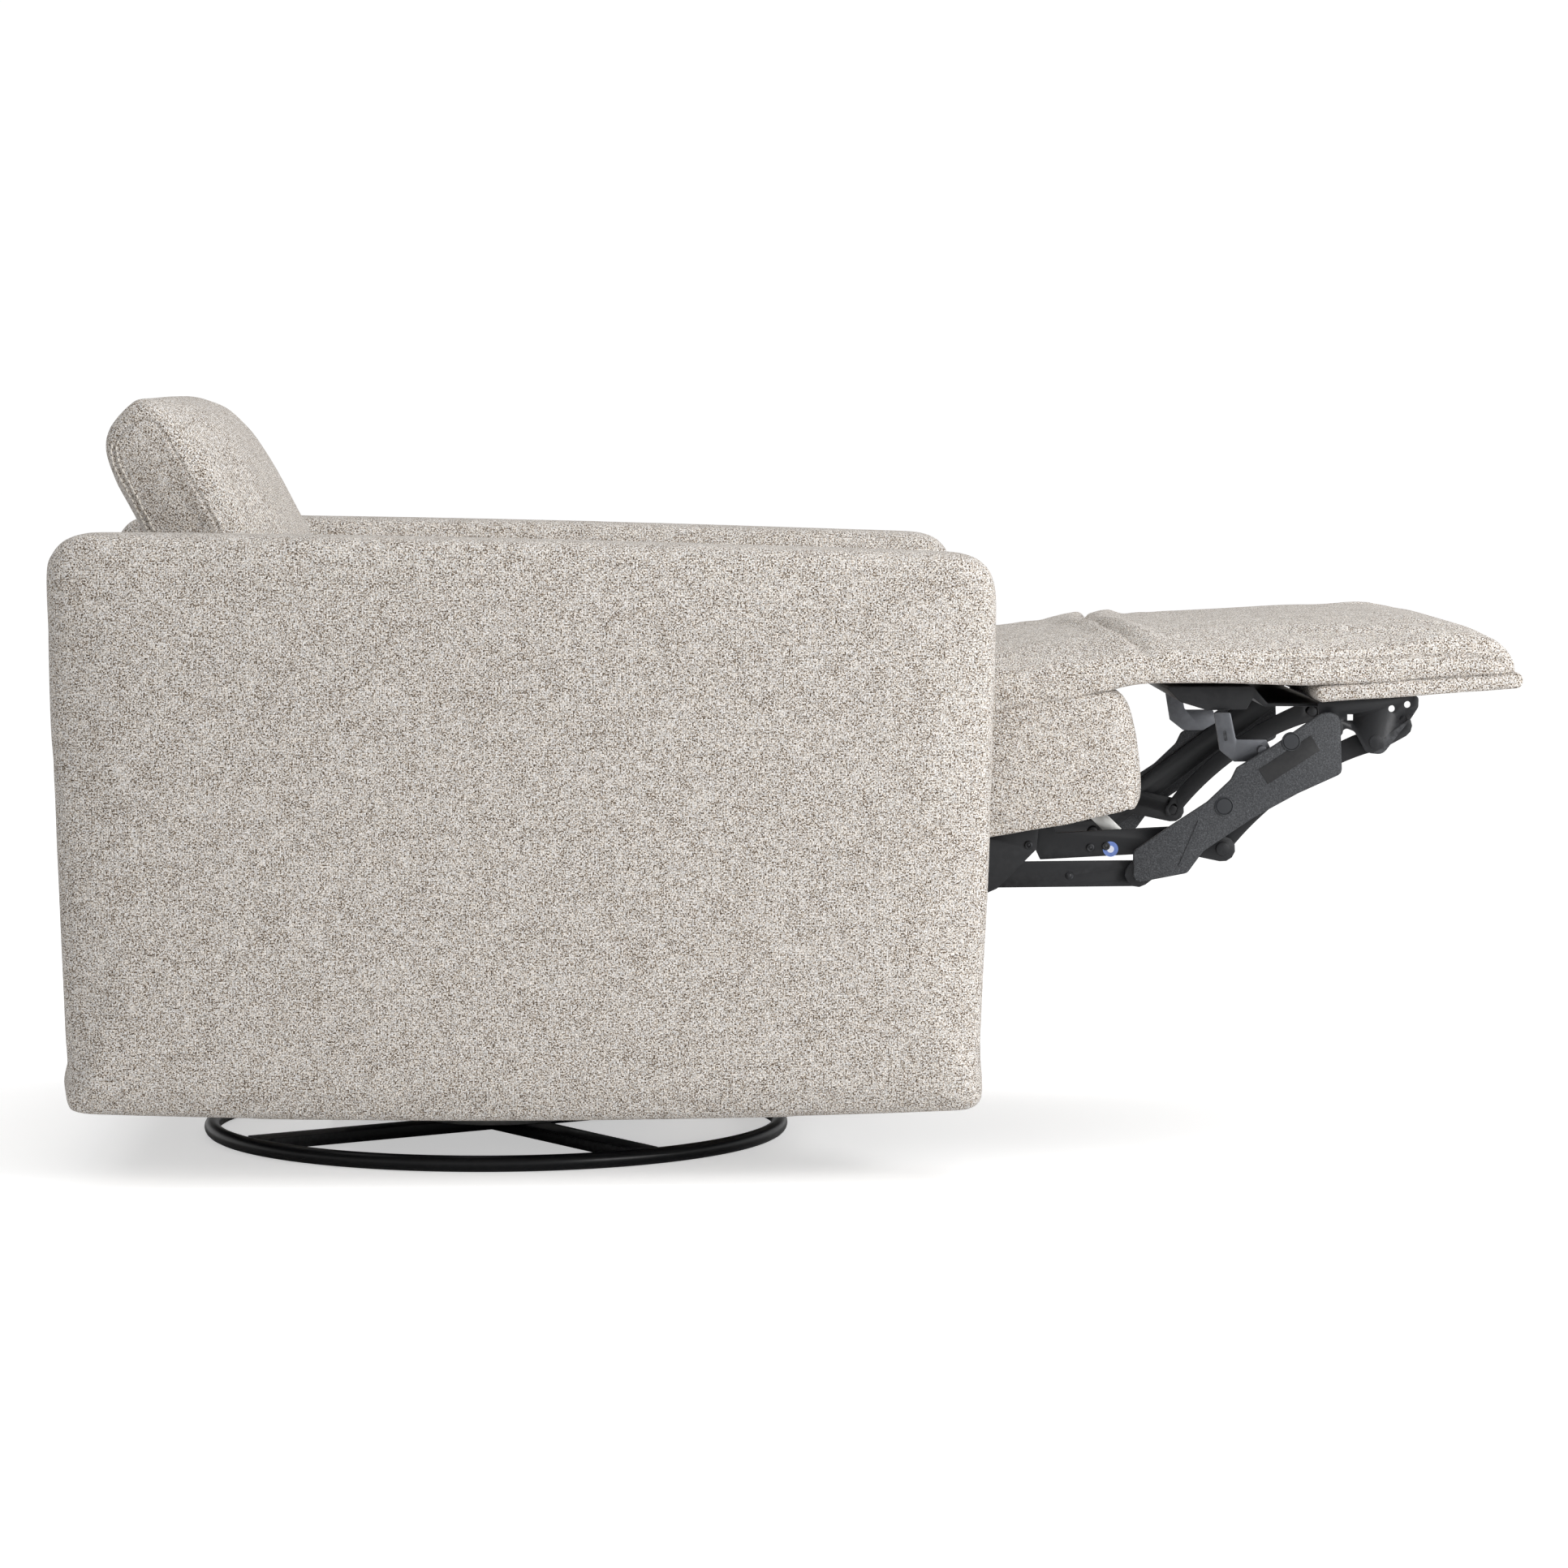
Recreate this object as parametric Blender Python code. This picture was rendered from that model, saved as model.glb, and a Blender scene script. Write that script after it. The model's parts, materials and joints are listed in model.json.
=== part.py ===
"""Swivel glider nursery chair with a reclining back and a fold-out footrest.

The chair faces +X, its right-hand side is -Y, and it stands on Z = 0. The model holds the chair fully reclined
with the footrest out. Everything is in metres.

Side-view points are (x, z) pairs. Sheet-metal pieces lie in layers counted outwards from the centre plane, so a
layer is the distance of a plate's inner face from Y = 0, and each plate is mirrored to both sides of the chair.
"""

import math

import bmesh
import bpy
from mathutils import Matrix, Vector

# ---- driving dimensions -------------------------------------------------------------------------------------------
GAP = 0.0004  # air between pieces that touch
PLATE = 0.004  # thickness of the stamped links
PIN_R = 0.0050
HOLE_R = 0.0062
LINK_R = 0.0125  # half width of a footrest link
SIDES = (("right", -1), ("left", 1))

# arms
ARM_BACK, ARM_FRONT = -0.6955, 0.1875
ARM_BOTTOM, ARM_TOP = 0.060, 0.611
ARM_FRONT_DROP = 0.019  # the arm top is this much lower at its front end
ARM_INNER, ARM_OUTER = 0.2705, 0.400
ARM_BULGE = 0.008  # the padded edges bow out by this much at mid-length

# swivel base
SWIVEL_X = -0.289
RING_R, TUBE_R = 0.285, 0.008
SPOKE_ANGLES = (-57.5, 32.5)  # two crossed flat bars, in degrees from +X
HUB_R = 0.078

# glide: the chassis hangs on four short links
GLIDE_X = (SWIVEL_X + 0.125, SWIVEL_X - 0.125)
GLIDE_TOP, GLIDE_LENGTH = 0.152, 0.080
LAYER_GLIDE_BRACKET, LAYER_GLIDE_LINK, LAYER_CHASSIS = 0.192, 0.199, 0.206

# recline: the seat stands on four links that lean forward when the chair is reclined
RECLINE_LINK, RECLINE_REACH = 0.150, 0.085
RECLINE_RISE = math.sqrt(RECLINE_LINK**2 - RECLINE_REACH**2)
SEAT_PIVOTS = ((0.100, 0.250), (-0.200, 0.202))
LAYER_RECLINE = 0.214

# seat
SEAT_TILT = math.radians(11.0)
SEAT_CORNER = (0.3295, 0.343)  # front lower corner of the upholstered seat box
SEAT_HALF = 0.2650
SEAT_LENGTH = 0.600
BOX_HEIGHT = 0.112
BACK_HINGE = (-0.400, 0.300)
BACK_LEAN = math.radians(26.0)

# footrest linkage: LIFT and CARRIER pivots are on the seat plate, and the pads fold about FOLD_AXIS
FOLD_AXIS = Vector((0.370, 0.462))
RAIL_END = Vector((0.518, 0.420))  # long link to footrest bracket
BRACKET_END = Vector((0.5624, 0.4066))  # upper link to footrest bracket
LIFT_PIVOT = Vector((0.185, 0.322))
CARRIER_PIVOT = Vector((0.2238, 0.3584))
LIFT_END = LIFT_PIVOT + RAIL_END - FOLD_AXIS
CROSS_PIVOT = CARRIER_PIVOT + RAIL_END - FOLD_AXIS
CARRIER_END = CARRIER_PIVOT + BRACKET_END - FOLD_AXIS
FLAP_PIN = Vector((0.4531, 0.3984))
LAYER_UPPER, LAYER_CARRIER, LAYER_LIFT = 0.2235, 0.2285, 0.2335
LAYER_SEAT_PLATE, LAYER_LONG, LAYER_GUARD = 0.2385, 0.2440, 0.2485

BOARD_REAR, BOARD_FRONT = 0.502, 0.6955
BOARD_SLOPE = math.radians(4.1)
BOARD_REAR_Z, BOARD_THICK = 0.4450, 0.0150
PAD_TOP = 0.524

# name: (colour, roughness, metallic)
FINISHES = {
    "oatmeal_weave": ((0.56, 0.50, 0.43, 1), 0.95, 0.0),
    "black_steel": ((0.018, 0.019, 0.021, 1), 0.45, 0.9),
    "zinc_steel": ((0.55, 0.55, 0.56, 1), 0.35, 1.0),
    "textured_plastic": ((0.045, 0.048, 0.052, 1), 0.65, 0.0),
    "plywood": ((0.50, 0.36, 0.22, 1), 0.70, 0.0),
    "black_cloth": ((0.020, 0.020, 0.022, 1), 0.95, 0.0),
}


# ---- helpers ------------------------------------------------------------------------------------------------------
def clear_scene():
    """Empty the scene without closing the file."""
    for obj in list(bpy.data.objects):
        bpy.data.objects.remove(obj, do_unlink=True)


def finish(name):
    """Return the named material, made on first use."""
    if name in bpy.data.materials:
        return bpy.data.materials[name]
    colour, roughness, metallic = FINISHES[name]
    material = bpy.data.materials.new(name)
    material.use_nodes = True
    shader = material.node_tree.nodes["Principled BSDF"]
    shader.inputs["Base Color"].default_value = colour
    shader.inputs["Roughness"].default_value = roughness
    shader.inputs["Metallic"].default_value = metallic
    return material


def place(name, bm, material):
    """Turn a bmesh into a named object with smooth round faces and outward normals."""
    bmesh.ops.remove_doubles(bm, verts=bm.verts, dist=1e-6)
    bmesh.ops.recalc_face_normals(bm, faces=bm.faces)
    mesh = bpy.data.meshes.new(name)
    bm.to_mesh(mesh)
    bm.free()
    mesh.shade_smooth()
    mesh.set_sharp_from_angle(angle=math.radians(35))
    mesh.materials.append(finish(material))
    obj = bpy.data.objects.new(name, mesh)
    bpy.context.scene.collection.objects.link(obj)
    return obj


def hide_tool(obj):
    """Mark an object as a Boolean tool, which is no part of the chair."""
    obj.hide_render = True
    obj.display_type = "WIRE"
    return obj


def combine(obj, tool, operation):
    """Join a tool to an object, or cut it away, with an exact Boolean."""
    modifier = obj.modifiers.new(f"{operation.lower()}_{tool.name}", "BOOLEAN")
    modifier.operation = operation
    modifier.solver = "EXACT"
    modifier.object = hide_tool(tool)


def arc(centre, radius, start, end, steps):
    """Points along an arc, angles in degrees, both ends included."""
    points = []
    for i in range(steps + 1):
        angle = math.radians(start + (end - start) * i / steps)
        points.append((centre[0] + radius * math.cos(angle), centre[1] + radius * math.sin(angle)))
    return points


def band(path, radius, steps=6):
    """Outline of a flat bar of half width radius with round ends along a path of (x, z) points."""
    path = [Vector(p) for p in path]
    legs = [(b - a).normalized() for a, b in zip(path, path[1:])]

    def side(sign):
        found = []
        for i, point in enumerate(path[1:-1], start=1):
            before, after = legs[i - 1], legs[i]
            normal = Vector((-before.y - after.y, before.x + after.x)).normalized()
            reach = radius / max(0.35, normal.dot(Vector((-after.y, after.x))))
            found.append(tuple(point + sign * reach * normal))
        return found

    heading_out = math.degrees(math.atan2(legs[-1].y, legs[-1].x))
    heading_in = math.degrees(math.atan2(legs[0].y, legs[0].x))
    right_side = side(-1)
    left_side = side(1)
    far_end = arc(path[-1], radius, heading_out - 90, heading_out + 90, steps)
    near_end = arc(path[0], radius, heading_in + 90, heading_in + 270, steps)
    return right_side + far_end + left_side[::-1] + near_end


def rounded(corners, radius, steps=3):
    """A polygon of (x, z) corners with each corner rounded; radius is one number or one for each corner."""
    radii = radius if isinstance(radius, (list, tuple)) else [radius] * len(corners)
    points = []
    for i, corner in enumerate(corners):
        here = Vector(corner)
        before, after = Vector(corners[i - 1]) - here, Vector(corners[(i + 1) % len(corners)]) - here
        half = before.angle(after) / 2
        if radii[i] <= 0 or half > math.radians(88):
            points.append(tuple(here))
            continue
        reach = min(radii[i] / math.tan(half), 0.48 * before.length, 0.48 * after.length)
        bend_r = reach * math.tan(half)
        before.normalize()
        after.normalize()
        centre = here + (before + after).normalized() * bend_r / math.sin(half)
        first, last = here + before * reach - centre, here + after * reach - centre
        for j in range(steps + 1):
            points.append(tuple(centre + first.lerp(last, j / steps).normalized() * bend_r))
    return points


def plate(name, outline, layer, thickness, side, material, holes=()):
    """A flat plate in the XZ plane between layer and layer + thickness on one side, drilled at (x, z, radius)."""
    bm = bmesh.new()
    y = side * layer
    face = bm.faces.new([bm.verts.new((x, y, z)) for x, z in outline])
    grown = bmesh.ops.extrude_face_region(bm, geom=[face])["geom"]
    bmesh.ops.translate(bm, verts=[v for v in grown if isinstance(v, bmesh.types.BMVert)], vec=(0, side * thickness, 0))
    obj = place(name, bm, material)
    for number, (x, z, radius) in enumerate(holes):
        reach = (layer - thickness, layer + 2 * thickness)
        combine(obj, rod(f"{name}_drill_{number}", (x, z), reach, radius, side, material), "DIFFERENCE")
    return obj


def rod(name, point, layers, radius, side, material, segments=16):
    """A round bar along Y between two layers on one side, centred on an (x, z) point."""
    low, high = sorted(side * layer for layer in layers)
    bm = bmesh.new()
    bmesh.ops.create_cone(
        bm, cap_ends=True, segments=segments, radius1=radius, radius2=radius, depth=high - low,
        matrix=Matrix.Translation((point[0], (low + high) / 2, point[1])) @ Matrix.Rotation(math.pi / 2, 4, "X"),
    )
    return place(name, bm, material)


def add_pin(obj, point, layers, side, material, radius=PIN_R):
    """Fix a pivot pin to a link."""
    count = len(obj.modifiers)
    combine(obj, rod(f"{obj.name}_pin_{count}", point, layers, radius, side, material), "UNION")


def add_head(obj, point, layers, side, material, radius=0.0075):
    """Fix a rivet head to a link."""
    count = len(obj.modifiers)
    combine(obj, rod(f"{obj.name}_head_{count}", point, layers, radius, side, material), "UNION")


def turned(name, profile, centre, material, segments=40):
    """A body turned about a vertical axis at centre (x, y) from (radius, z) points that run round its section."""
    bm = bmesh.new()
    rings = []
    for i in range(segments):
        angle = 2 * math.pi * i / segments
        ring = []
        for radius, z in profile:
            ring.append(bm.verts.new((centre[0] + radius * math.cos(angle), centre[1] + radius * math.sin(angle), z)))
        rings.append(ring)
    for i in range(segments):
        near, far = rings[i], rings[(i + 1) % segments]
        for j in range(len(profile)):
            k = (j + 1) % len(profile)
            if profile[j][0] or profile[k][0]:
                bm.faces.new((near[j], far[j], far[k], near[k]))
    return place(name, bm, material)


def box(name, low, high, material, bevel=0.0, segments=2):
    """A box between two corners, with its edges rounded where bevel is given."""
    bm = bmesh.new()
    size = [b - a for a, b in zip(low, high)]
    centre = [(a + b) / 2 for a, b in zip(low, high)]
    bmesh.ops.create_cube(bm, size=1, matrix=Matrix.Translation(centre) @ Matrix.Diagonal((*size, 1)))
    if bevel:
        bmesh.ops.bevel(bm, geom=list(bm.edges), offset=bevel, segments=segments, profile=0.5, affect="EDGES")
    return place(name, bm, material)


def loft(name, sections, material):
    """A closed body through sections, each a ring of (x, y, z) points with the same count, capped at both ends."""
    bm = bmesh.new()
    rings = [[bm.verts.new(p) for p in section] for section in sections]
    for near, far in zip(rings, rings[1:]):
        for j in range(len(near)):
            k = (j + 1) % len(near)
            bm.faces.new((near[j], near[k], far[k], far[j]))
    bm.faces.new(rings[0])
    bm.faces.new(rings[-1])
    return place(name, bm, material)


def crowned(name, outline, half_width, material, edge=0.030, steps=3):
    """A pad with the (x, z) outline at its middle, drawn in towards its centre near both side faces.

    The sides are rounded over a margin of width edge, as stuffed upholstery is.
    """
    middle = sum((Vector(p) for p in outline), Vector((0, 0))) / len(outline)
    stations = []
    for i in range(steps + 1):
        angle = math.pi / 2 * i / steps
        stations.append((half_width - edge * (1 - math.sin(angle)), 1 - math.cos(angle)))
    inset = [(-y, pull) for y, pull in stations[::-1]] + stations
    sections = []
    for y, pull in inset:
        section = []
        for point in outline:
            away = Vector(point) - middle
            shrink = 1 - pull * edge * 0.45 / max(away.length, edge)
            x, z = middle + away * shrink
            section.append((x, y, z))
        sections.append(section)
    return loft(name, sections, material)


def seat_point(along, up):
    """World (x, z) of a point given along the seat from its front corner (backwards is negative) and above it."""
    x = SEAT_CORNER[0] + along * math.cos(SEAT_TILT) - up * math.sin(SEAT_TILT)
    z = SEAT_CORNER[1] + along * math.sin(SEAT_TILT) + up * math.cos(SEAT_TILT)
    return x, z


def back_point(forward, up):
    """World (x, z) of a point given in the back's own frame: forward of the hinge line and up along the back."""
    x = BACK_HINGE[0] + forward * math.cos(BACK_LEAN) - up * math.sin(BACK_LEAN)
    z = BACK_HINGE[1] + forward * math.sin(BACK_LEAN) + up * math.cos(BACK_LEAN)
    return x, z


# ---- swivel base --------------------------------------------------------------------------------------------------
SPOKE_BOTTOM, SPOKE_TOP, SPOKE_HALF = 0.0030, 0.0150, 0.0150
RACE_BASE = SPOKE_TOP + GAP
CAGE_BASE = RACE_BASE + 0.0060
UPPER_BASE = CAGE_BASE + 0.0090
SWIVEL_BASE = UPPER_BASE + 0.0070
BOLT_R = 0.009


def base_ring():
    """Steel tube bent into the floor ring, pressed flat where it meets the floor."""
    profile = arc((RING_R, TUBE_R), TUBE_R / math.cos(math.pi / 8), 22.5, 337.5, 7)
    turned("base_ring", profile, (SWIVEL_X, 0), "black_steel", segments=48)


def base_cross():
    """Two flat bars crossed under the bearing and fitted inside the ring, with a bolt hole in the middle."""
    reach = RING_R - TUBE_R - 0.0012
    bars = []
    for i, degrees in enumerate(SPOKE_ANGLES):
        bar = box(
            "base_cross" if i == 0 else "base_cross_bar",
            (-reach, -SPOKE_HALF, SPOKE_BOTTOM), (reach, SPOKE_HALF, SPOKE_TOP - 0.0002 * i), "black_steel",
        )
        bar.data.transform(Matrix.Translation((SWIVEL_X, 0, 0)) @ Matrix.Rotation(math.radians(degrees), 4, "Z"))
        bars.append(bar)
    combine(bars[0], bars[1], "UNION")
    hole = turned_disc("base_cross_hole", BOLT_R + 0.001, SPOKE_BOTTOM - 0.01, SPOKE_TOP + 0.01)
    combine(bars[0], hole, "DIFFERENCE")


def turned_disc(name, radius, low, high):
    """An upright cylinder on the swivel axis, for use as a cutter."""
    bm = bmesh.new()
    bmesh.ops.create_cone(
        bm, cap_ends=True, segments=24, radius1=radius, radius2=radius, depth=high - low,
        matrix=Matrix.Translation((SWIVEL_X, 0, (low + high) / 2)),
    )
    return place(name, bm, "black_steel")


def swivel_bearing():
    """Lower race, ball cage, upper race, and the bolt that holds the races together."""
    centre = (SWIVEL_X, 0)
    bore = BOLT_R + 0.001
    lip = HUB_R - 0.005
    turned("bearing_lower_race", [
        (bore, RACE_BASE), (HUB_R, RACE_BASE), (HUB_R, CAGE_BASE + 0.0080), (lip, CAGE_BASE + 0.0080),
        (lip, CAGE_BASE - GAP), (bore, CAGE_BASE - GAP),
    ], centre, "zinc_steel")
    cage = [(0.048, CAGE_BASE), (0.066, CAGE_BASE), (0.066, UPPER_BASE - GAP), (0.048, UPPER_BASE - GAP)]
    turned("bearing_ball_cage", cage, centre, "zinc_steel")
    turned("bearing_upper_race", [
        (bore, UPPER_BASE), (HUB_R, UPPER_BASE), (HUB_R, SWIVEL_BASE - GAP), (bore, SWIVEL_BASE - GAP),
    ], centre, "zinc_steel")
    turned("swivel_bolt", [
        (0, 0.0010), (0.0085, 0.0010), (0.0085, SWIVEL_BASE + PLATE + 2 * GAP), (0.016, SWIVEL_BASE + PLATE + 2 * GAP),
        (0.016, SWIVEL_BASE + PLATE + 0.010), (0, SWIVEL_BASE + PLATE + 0.010),
    ], centre, "zinc_steel", segments=24)


# ---- glider -------------------------------------------------------------------------------------------------------
BRACKET_FRONT, BRACKET_BACK = GLIDE_X[0] + 0.030, GLIDE_X[1] - 0.030


def swivel_plate():
    """Plate that turns on the bearing and carries the two glide brackets."""
    low = (BRACKET_BACK, -LAYER_GLIDE_BRACKET, SWIVEL_BASE)
    high = (BRACKET_FRONT, LAYER_GLIDE_BRACKET, SWIVEL_BASE + PLATE)
    obj = box("swivel_plate", low, high, "black_steel")
    hole = turned_disc("swivel_plate_hole", BOLT_R + 0.001, SWIVEL_BASE - 0.01, SWIVEL_BASE + 0.02)
    combine(obj, hole, "DIFFERENCE")


def glide_brackets():
    """Upstanding brackets with an outward foot, from which the glide links hang."""
    foot = SWIVEL_BASE + PLATE + GAP
    for name, side in SIDES:
        outline = rounded([
            (BRACKET_BACK, foot), (BRACKET_FRONT, foot), (GLIDE_X[0] + 0.022, GLIDE_TOP + 0.016),
            (GLIDE_X[0] - 0.022, GLIDE_TOP + 0.016), (SWIVEL_X, GLIDE_TOP - 0.050),
            (GLIDE_X[1] + 0.022, GLIDE_TOP + 0.016), (GLIDE_X[1] - 0.022, GLIDE_TOP + 0.016),
        ], [0, 0, 0.010, 0.010, 0.020, 0.010, 0.010])
        obj = plate(f"glide_bracket_{name}", outline, LAYER_GLIDE_BRACKET, PLATE, side, "black_steel")
        low, high = sorted((side * (LAYER_GLIDE_BRACKET - 0.040), side * (LAYER_GLIDE_BRACKET + 0.001)))
        near, far = (BRACKET_BACK, low, foot), (BRACKET_FRONT, high, foot + PLATE)
        flange = box(f"glide_flange_{name}", near, far, "black_steel")
        combine(obj, flange, "UNION")
        for x in GLIDE_X:
            pin_to = (LAYER_GLIDE_BRACKET + 0.001, LAYER_GLIDE_LINK + PLATE - 0.0002)
            add_pin(obj, (x, GLIDE_TOP), pin_to, side, "zinc_steel")


def glide_links():
    """Four hanging links, each with the pin that carries the chassis."""
    for name, side in SIDES:
        for end, x in zip(("front", "rear"), GLIDE_X):
            outline = band([(x, GLIDE_TOP), (x, GLIDE_TOP - GLIDE_LENGTH)], 0.013)
            hole = (x, GLIDE_TOP, HOLE_R)
            obj = plate(f"glide_link_{end}_{name}", outline, LAYER_GLIDE_LINK, PLATE, side, "black_steel", [hole])
            pin_to = (LAYER_GLIDE_LINK + 0.001, LAYER_CHASSIS + PLATE - 0.0002)
            add_pin(obj, (x, GLIDE_TOP - GLIDE_LENGTH), pin_to, side, "zinc_steel")


# ---- chassis ------------------------------------------------------------------------------------------------------
CHASSIS_LOW = GLIDE_TOP - GLIDE_LENGTH - 0.013
CHASSIS_FRONT, CHASSIS_BACK = 0.110, -0.620
BASE_PIVOTS = [(x - RECLINE_REACH, z - RECLINE_RISE) for x, z in SEAT_PIVOTS]
CROSS_TOP = 0.112
CROSS_FRONT_X, CROSS_BACK_X = (0.062, 0.092), (-0.640, -0.610)
PANEL_TOP = 0.360


def chassis_rails():
    """Deep steel side rails between the hanging links and the recline links."""
    front, rear = BASE_PIVOTS
    outline = rounded([
        (CHASSIS_BACK + 0.020, CHASSIS_LOW), (CHASSIS_FRONT - 0.060, CHASSIS_LOW), (CHASSIS_FRONT - 0.060, 0.105),
        (front[0] + 0.017, front[1] + 0.018), (front[0] - 0.020, front[1] + 0.018), (-0.060, 0.100),
        (CHASSIS_BACK + 0.020, 0.100),
    ], [0, 0, 0.006, 0.012, 0.012, 0.020, 0])
    holes = [(x, GLIDE_TOP - GLIDE_LENGTH, HOLE_R) for x in GLIDE_X]
    for name, side in SIDES:
        obj = plate(f"chassis_rail_{name}", outline, LAYER_CHASSIS, PLATE, side, "black_steel", holes)
        for pivot in (front, rear):
            add_pin(obj, pivot, (LAYER_CHASSIS + 0.001, LAYER_RECLINE + PLATE - 0.0002), side, "zinc_steel")


def cross_members():
    """Wooden cross members that tie the arms together."""
    for name, (low_x, high_x) in (("front", CROSS_FRONT_X), ("rear", CROSS_BACK_X)):
        reach = ARM_INNER - GAP
        box(f"cross_member_{name}", (low_x, -reach, ARM_BOTTOM + 0.003), (high_x, reach, CROSS_TOP), "black_cloth")


def rear_panel():
    """Low upholstered panel that closes the chair between the arms at the back."""
    reach = ARM_INNER - 0.001
    outline = rounded([
        (ARM_BACK + 0.012, ARM_BOTTOM + 0.002), (ARM_BACK + 0.034, ARM_BOTTOM + 0.002),
        (ARM_BACK + 0.034, PANEL_TOP), (ARM_BACK + 0.012, PANEL_TOP),
    ], 0.008)
    obj = plate("rear_panel", outline, -reach, 2 * reach, 1, "oatmeal_weave")
    return obj


def arm_outline():
    """Side outline of an arm: a rounded rectangle with gently bowed edges, lower at its front."""
    corner_r = 0.036
    back, front = ARM_BACK, ARM_FRONT
    low, high = ARM_BOTTOM, ARM_TOP
    count = 6
    points = []

    def bow(t):
        return ARM_BULGE * (1 - (2 * t - 1) ** 2)

    taper = 0.012
    for i in range(count + 1):
        t = i / count
        x = back + taper + 0.016 + (front - back - 2 * taper - 0.032) * t
        points.append((x, low + ARM_BULGE - bow(t)))
    points.append((front - taper, low + ARM_BULGE + 0.016))
    for i in range(1, 4):
        t = i / 4
        points.append((front - taper * (1 - t), low + (high - ARM_FRONT_DROP - corner_r - low) * t))
    points += arc((front - corner_r, high - ARM_FRONT_DROP - corner_r), corner_r, 10, 80, 3)
    for i in range(1, count):
        t = i / count
        x = front - corner_r - (front - back - 2 * corner_r) * t
        points.append((x, high - ARM_FRONT_DROP * (1 - t) + bow(t) * 0.4))
    points += arc((back + corner_r, high - corner_r), corner_r, 100, 170, 3)
    for i in range(1, 4):
        t = 1 - i / 4
        points.append((back + taper * (1 - t), low + (high - corner_r - low) * t))
    points.append((back + taper, low + ARM_BULGE + 0.016))
    return points


def arms():
    """Padded arms, each with a slot in its underside for the plywood panel inside it."""
    outline = arm_outline()
    half = (ARM_OUTER - ARM_INNER) / 2
    middle = (ARM_OUTER + ARM_INNER) / 2
    panel = 0.011
    for name, side in SIDES:
        obj = crowned(f"arm_{name}", outline, half, "oatmeal_weave", edge=0.026)
        obj.data.transform(Matrix.Translation((0, side * middle, 0)))
        y_low, y_high = sorted((side * (middle - panel), side * (middle + panel)))
        slot = box(
            f"arm_slot_{name}", (ARM_BACK + 0.050, y_low, ARM_BOTTOM - 0.050),
            (ARM_FRONT - 0.050, y_high, ARM_TOP - 0.070), "plywood",
        )
        combine(obj, slot, "DIFFERENCE")
        box(
            f"arm_frame_{name}", (ARM_BACK + 0.051, y_low + 0.001, ARM_BOTTOM + 0.006),
            (ARM_FRONT - 0.051, y_high - 0.001, ARM_TOP - 0.072), "plywood",
        )


# ---- recline links and seat ---------------------------------------------------------------------------------------
def recline_links():
    """Four flat links that carry the seat plates on the chassis rails."""
    for name, side in SIDES:
        for end, low, high in zip(("front", "rear"), BASE_PIVOTS, SEAT_PIVOTS):
            holes = [(*low, HOLE_R), (*high, HOLE_R)]
            outline = band([low, high], 0.014)
            plate(f"recline_link_{end}_{name}", outline, LAYER_RECLINE, PLATE, side, "black_steel", holes)


def seat_plates():
    """Stamped side plates under the seat rails. They carry the footrest links, the recline links and the back."""
    front, rear = SEAT_PIVOTS
    outline = rounded([
        (rear[0] - 0.020, rear[1] - 0.018), (rear[0] + 0.030, rear[1] - 0.012), (front[0] - 0.040, front[1] - 0.016),
        (front[0] + 0.020, front[1] - 0.018), (0.198, 0.266), (0.236, 0.304), (0.241, 0.362), (0.228, 0.374),
        (0.205, 0.374), (0.080, 0.330), (-0.215, 0.268), (-0.270, 0.268),
        (BACK_HINGE[0] + 0.010, BACK_HINGE[1] + 0.018),
        (BACK_HINGE[0] - 0.017, BACK_HINGE[1] + 0.012), (BACK_HINGE[0] - 0.015, BACK_HINGE[1] - 0.018),
        (-0.290, 0.225),
    ], [0.012, 0.02, 0.02, 0.012, 0.006, 0.006, 0.008, 0.008, 0.008, 0.03, 0.03, 0.02, 0.012, 0.012, 0.012, 0.03])
    holes = [(*LIFT_PIVOT, HOLE_R), (*CARRIER_PIVOT, HOLE_R)]
    for name, side in SIDES:
        obj = plate(f"seat_plate_{name}", outline, LAYER_SEAT_PLATE, PLATE, side, "black_steel", holes)
        for pivot in SEAT_PIVOTS:
            add_pin(obj, pivot, (LAYER_RECLINE + 0.0002, LAYER_SEAT_PLATE + 0.003), side, "zinc_steel")
        add_pin(obj, BACK_HINGE, (LAYER_CARRIER + 0.0002, LAYER_SEAT_PLATE + 0.003), side, "zinc_steel")


def tilted_box(name, along, across, up, material, bevel=0.0, segments=2):
    """A box in the seat's own frame: along the seat, across the chair, and up from the seat's lower face."""
    obj = box(name, (along[0], across[0], up[0]), (along[1], across[1], up[1]), material, bevel, segments)
    turn = Matrix.Rotation(-SEAT_TILT, 4, "Y")
    obj.data.transform(Matrix.Translation((SEAT_CORNER[0], 0, SEAT_CORNER[1])) @ turn)
    return obj


RAIL_OUT, RAIL_IN = 0.2570, 0.2432
RAIL_LOW, RAIL_HIGH = 0.016, 0.086


def seat_frame():
    """Plywood seat frame: two side rails joined by a front and a rear rail."""
    along = (-SEAT_LENGTH + 0.015, -0.012)
    obj = tilted_box("seat_frame", along, (-RAIL_OUT, RAIL_OUT), (RAIL_LOW, RAIL_HIGH), "plywood")
    inside = tilted_box(
        "seat_frame_hollow", (-SEAT_LENGTH + 0.040, -0.034), (-RAIL_IN, RAIL_IN), (RAIL_LOW - 0.05, RAIL_HIGH + 0.05),
        "plywood",
    )
    combine(obj, inside, "DIFFERENCE")
    relief = tilted_box(
        "seat_frame_relief", (-SEAT_LENGTH - 0.02, -SEAT_LENGTH + 0.055), (-RAIL_IN, RAIL_IN),
        (RAIL_LOW - 0.05, RAIL_LOW + 0.045), "plywood",
    )
    combine(obj, relief, "DIFFERENCE")


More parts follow.
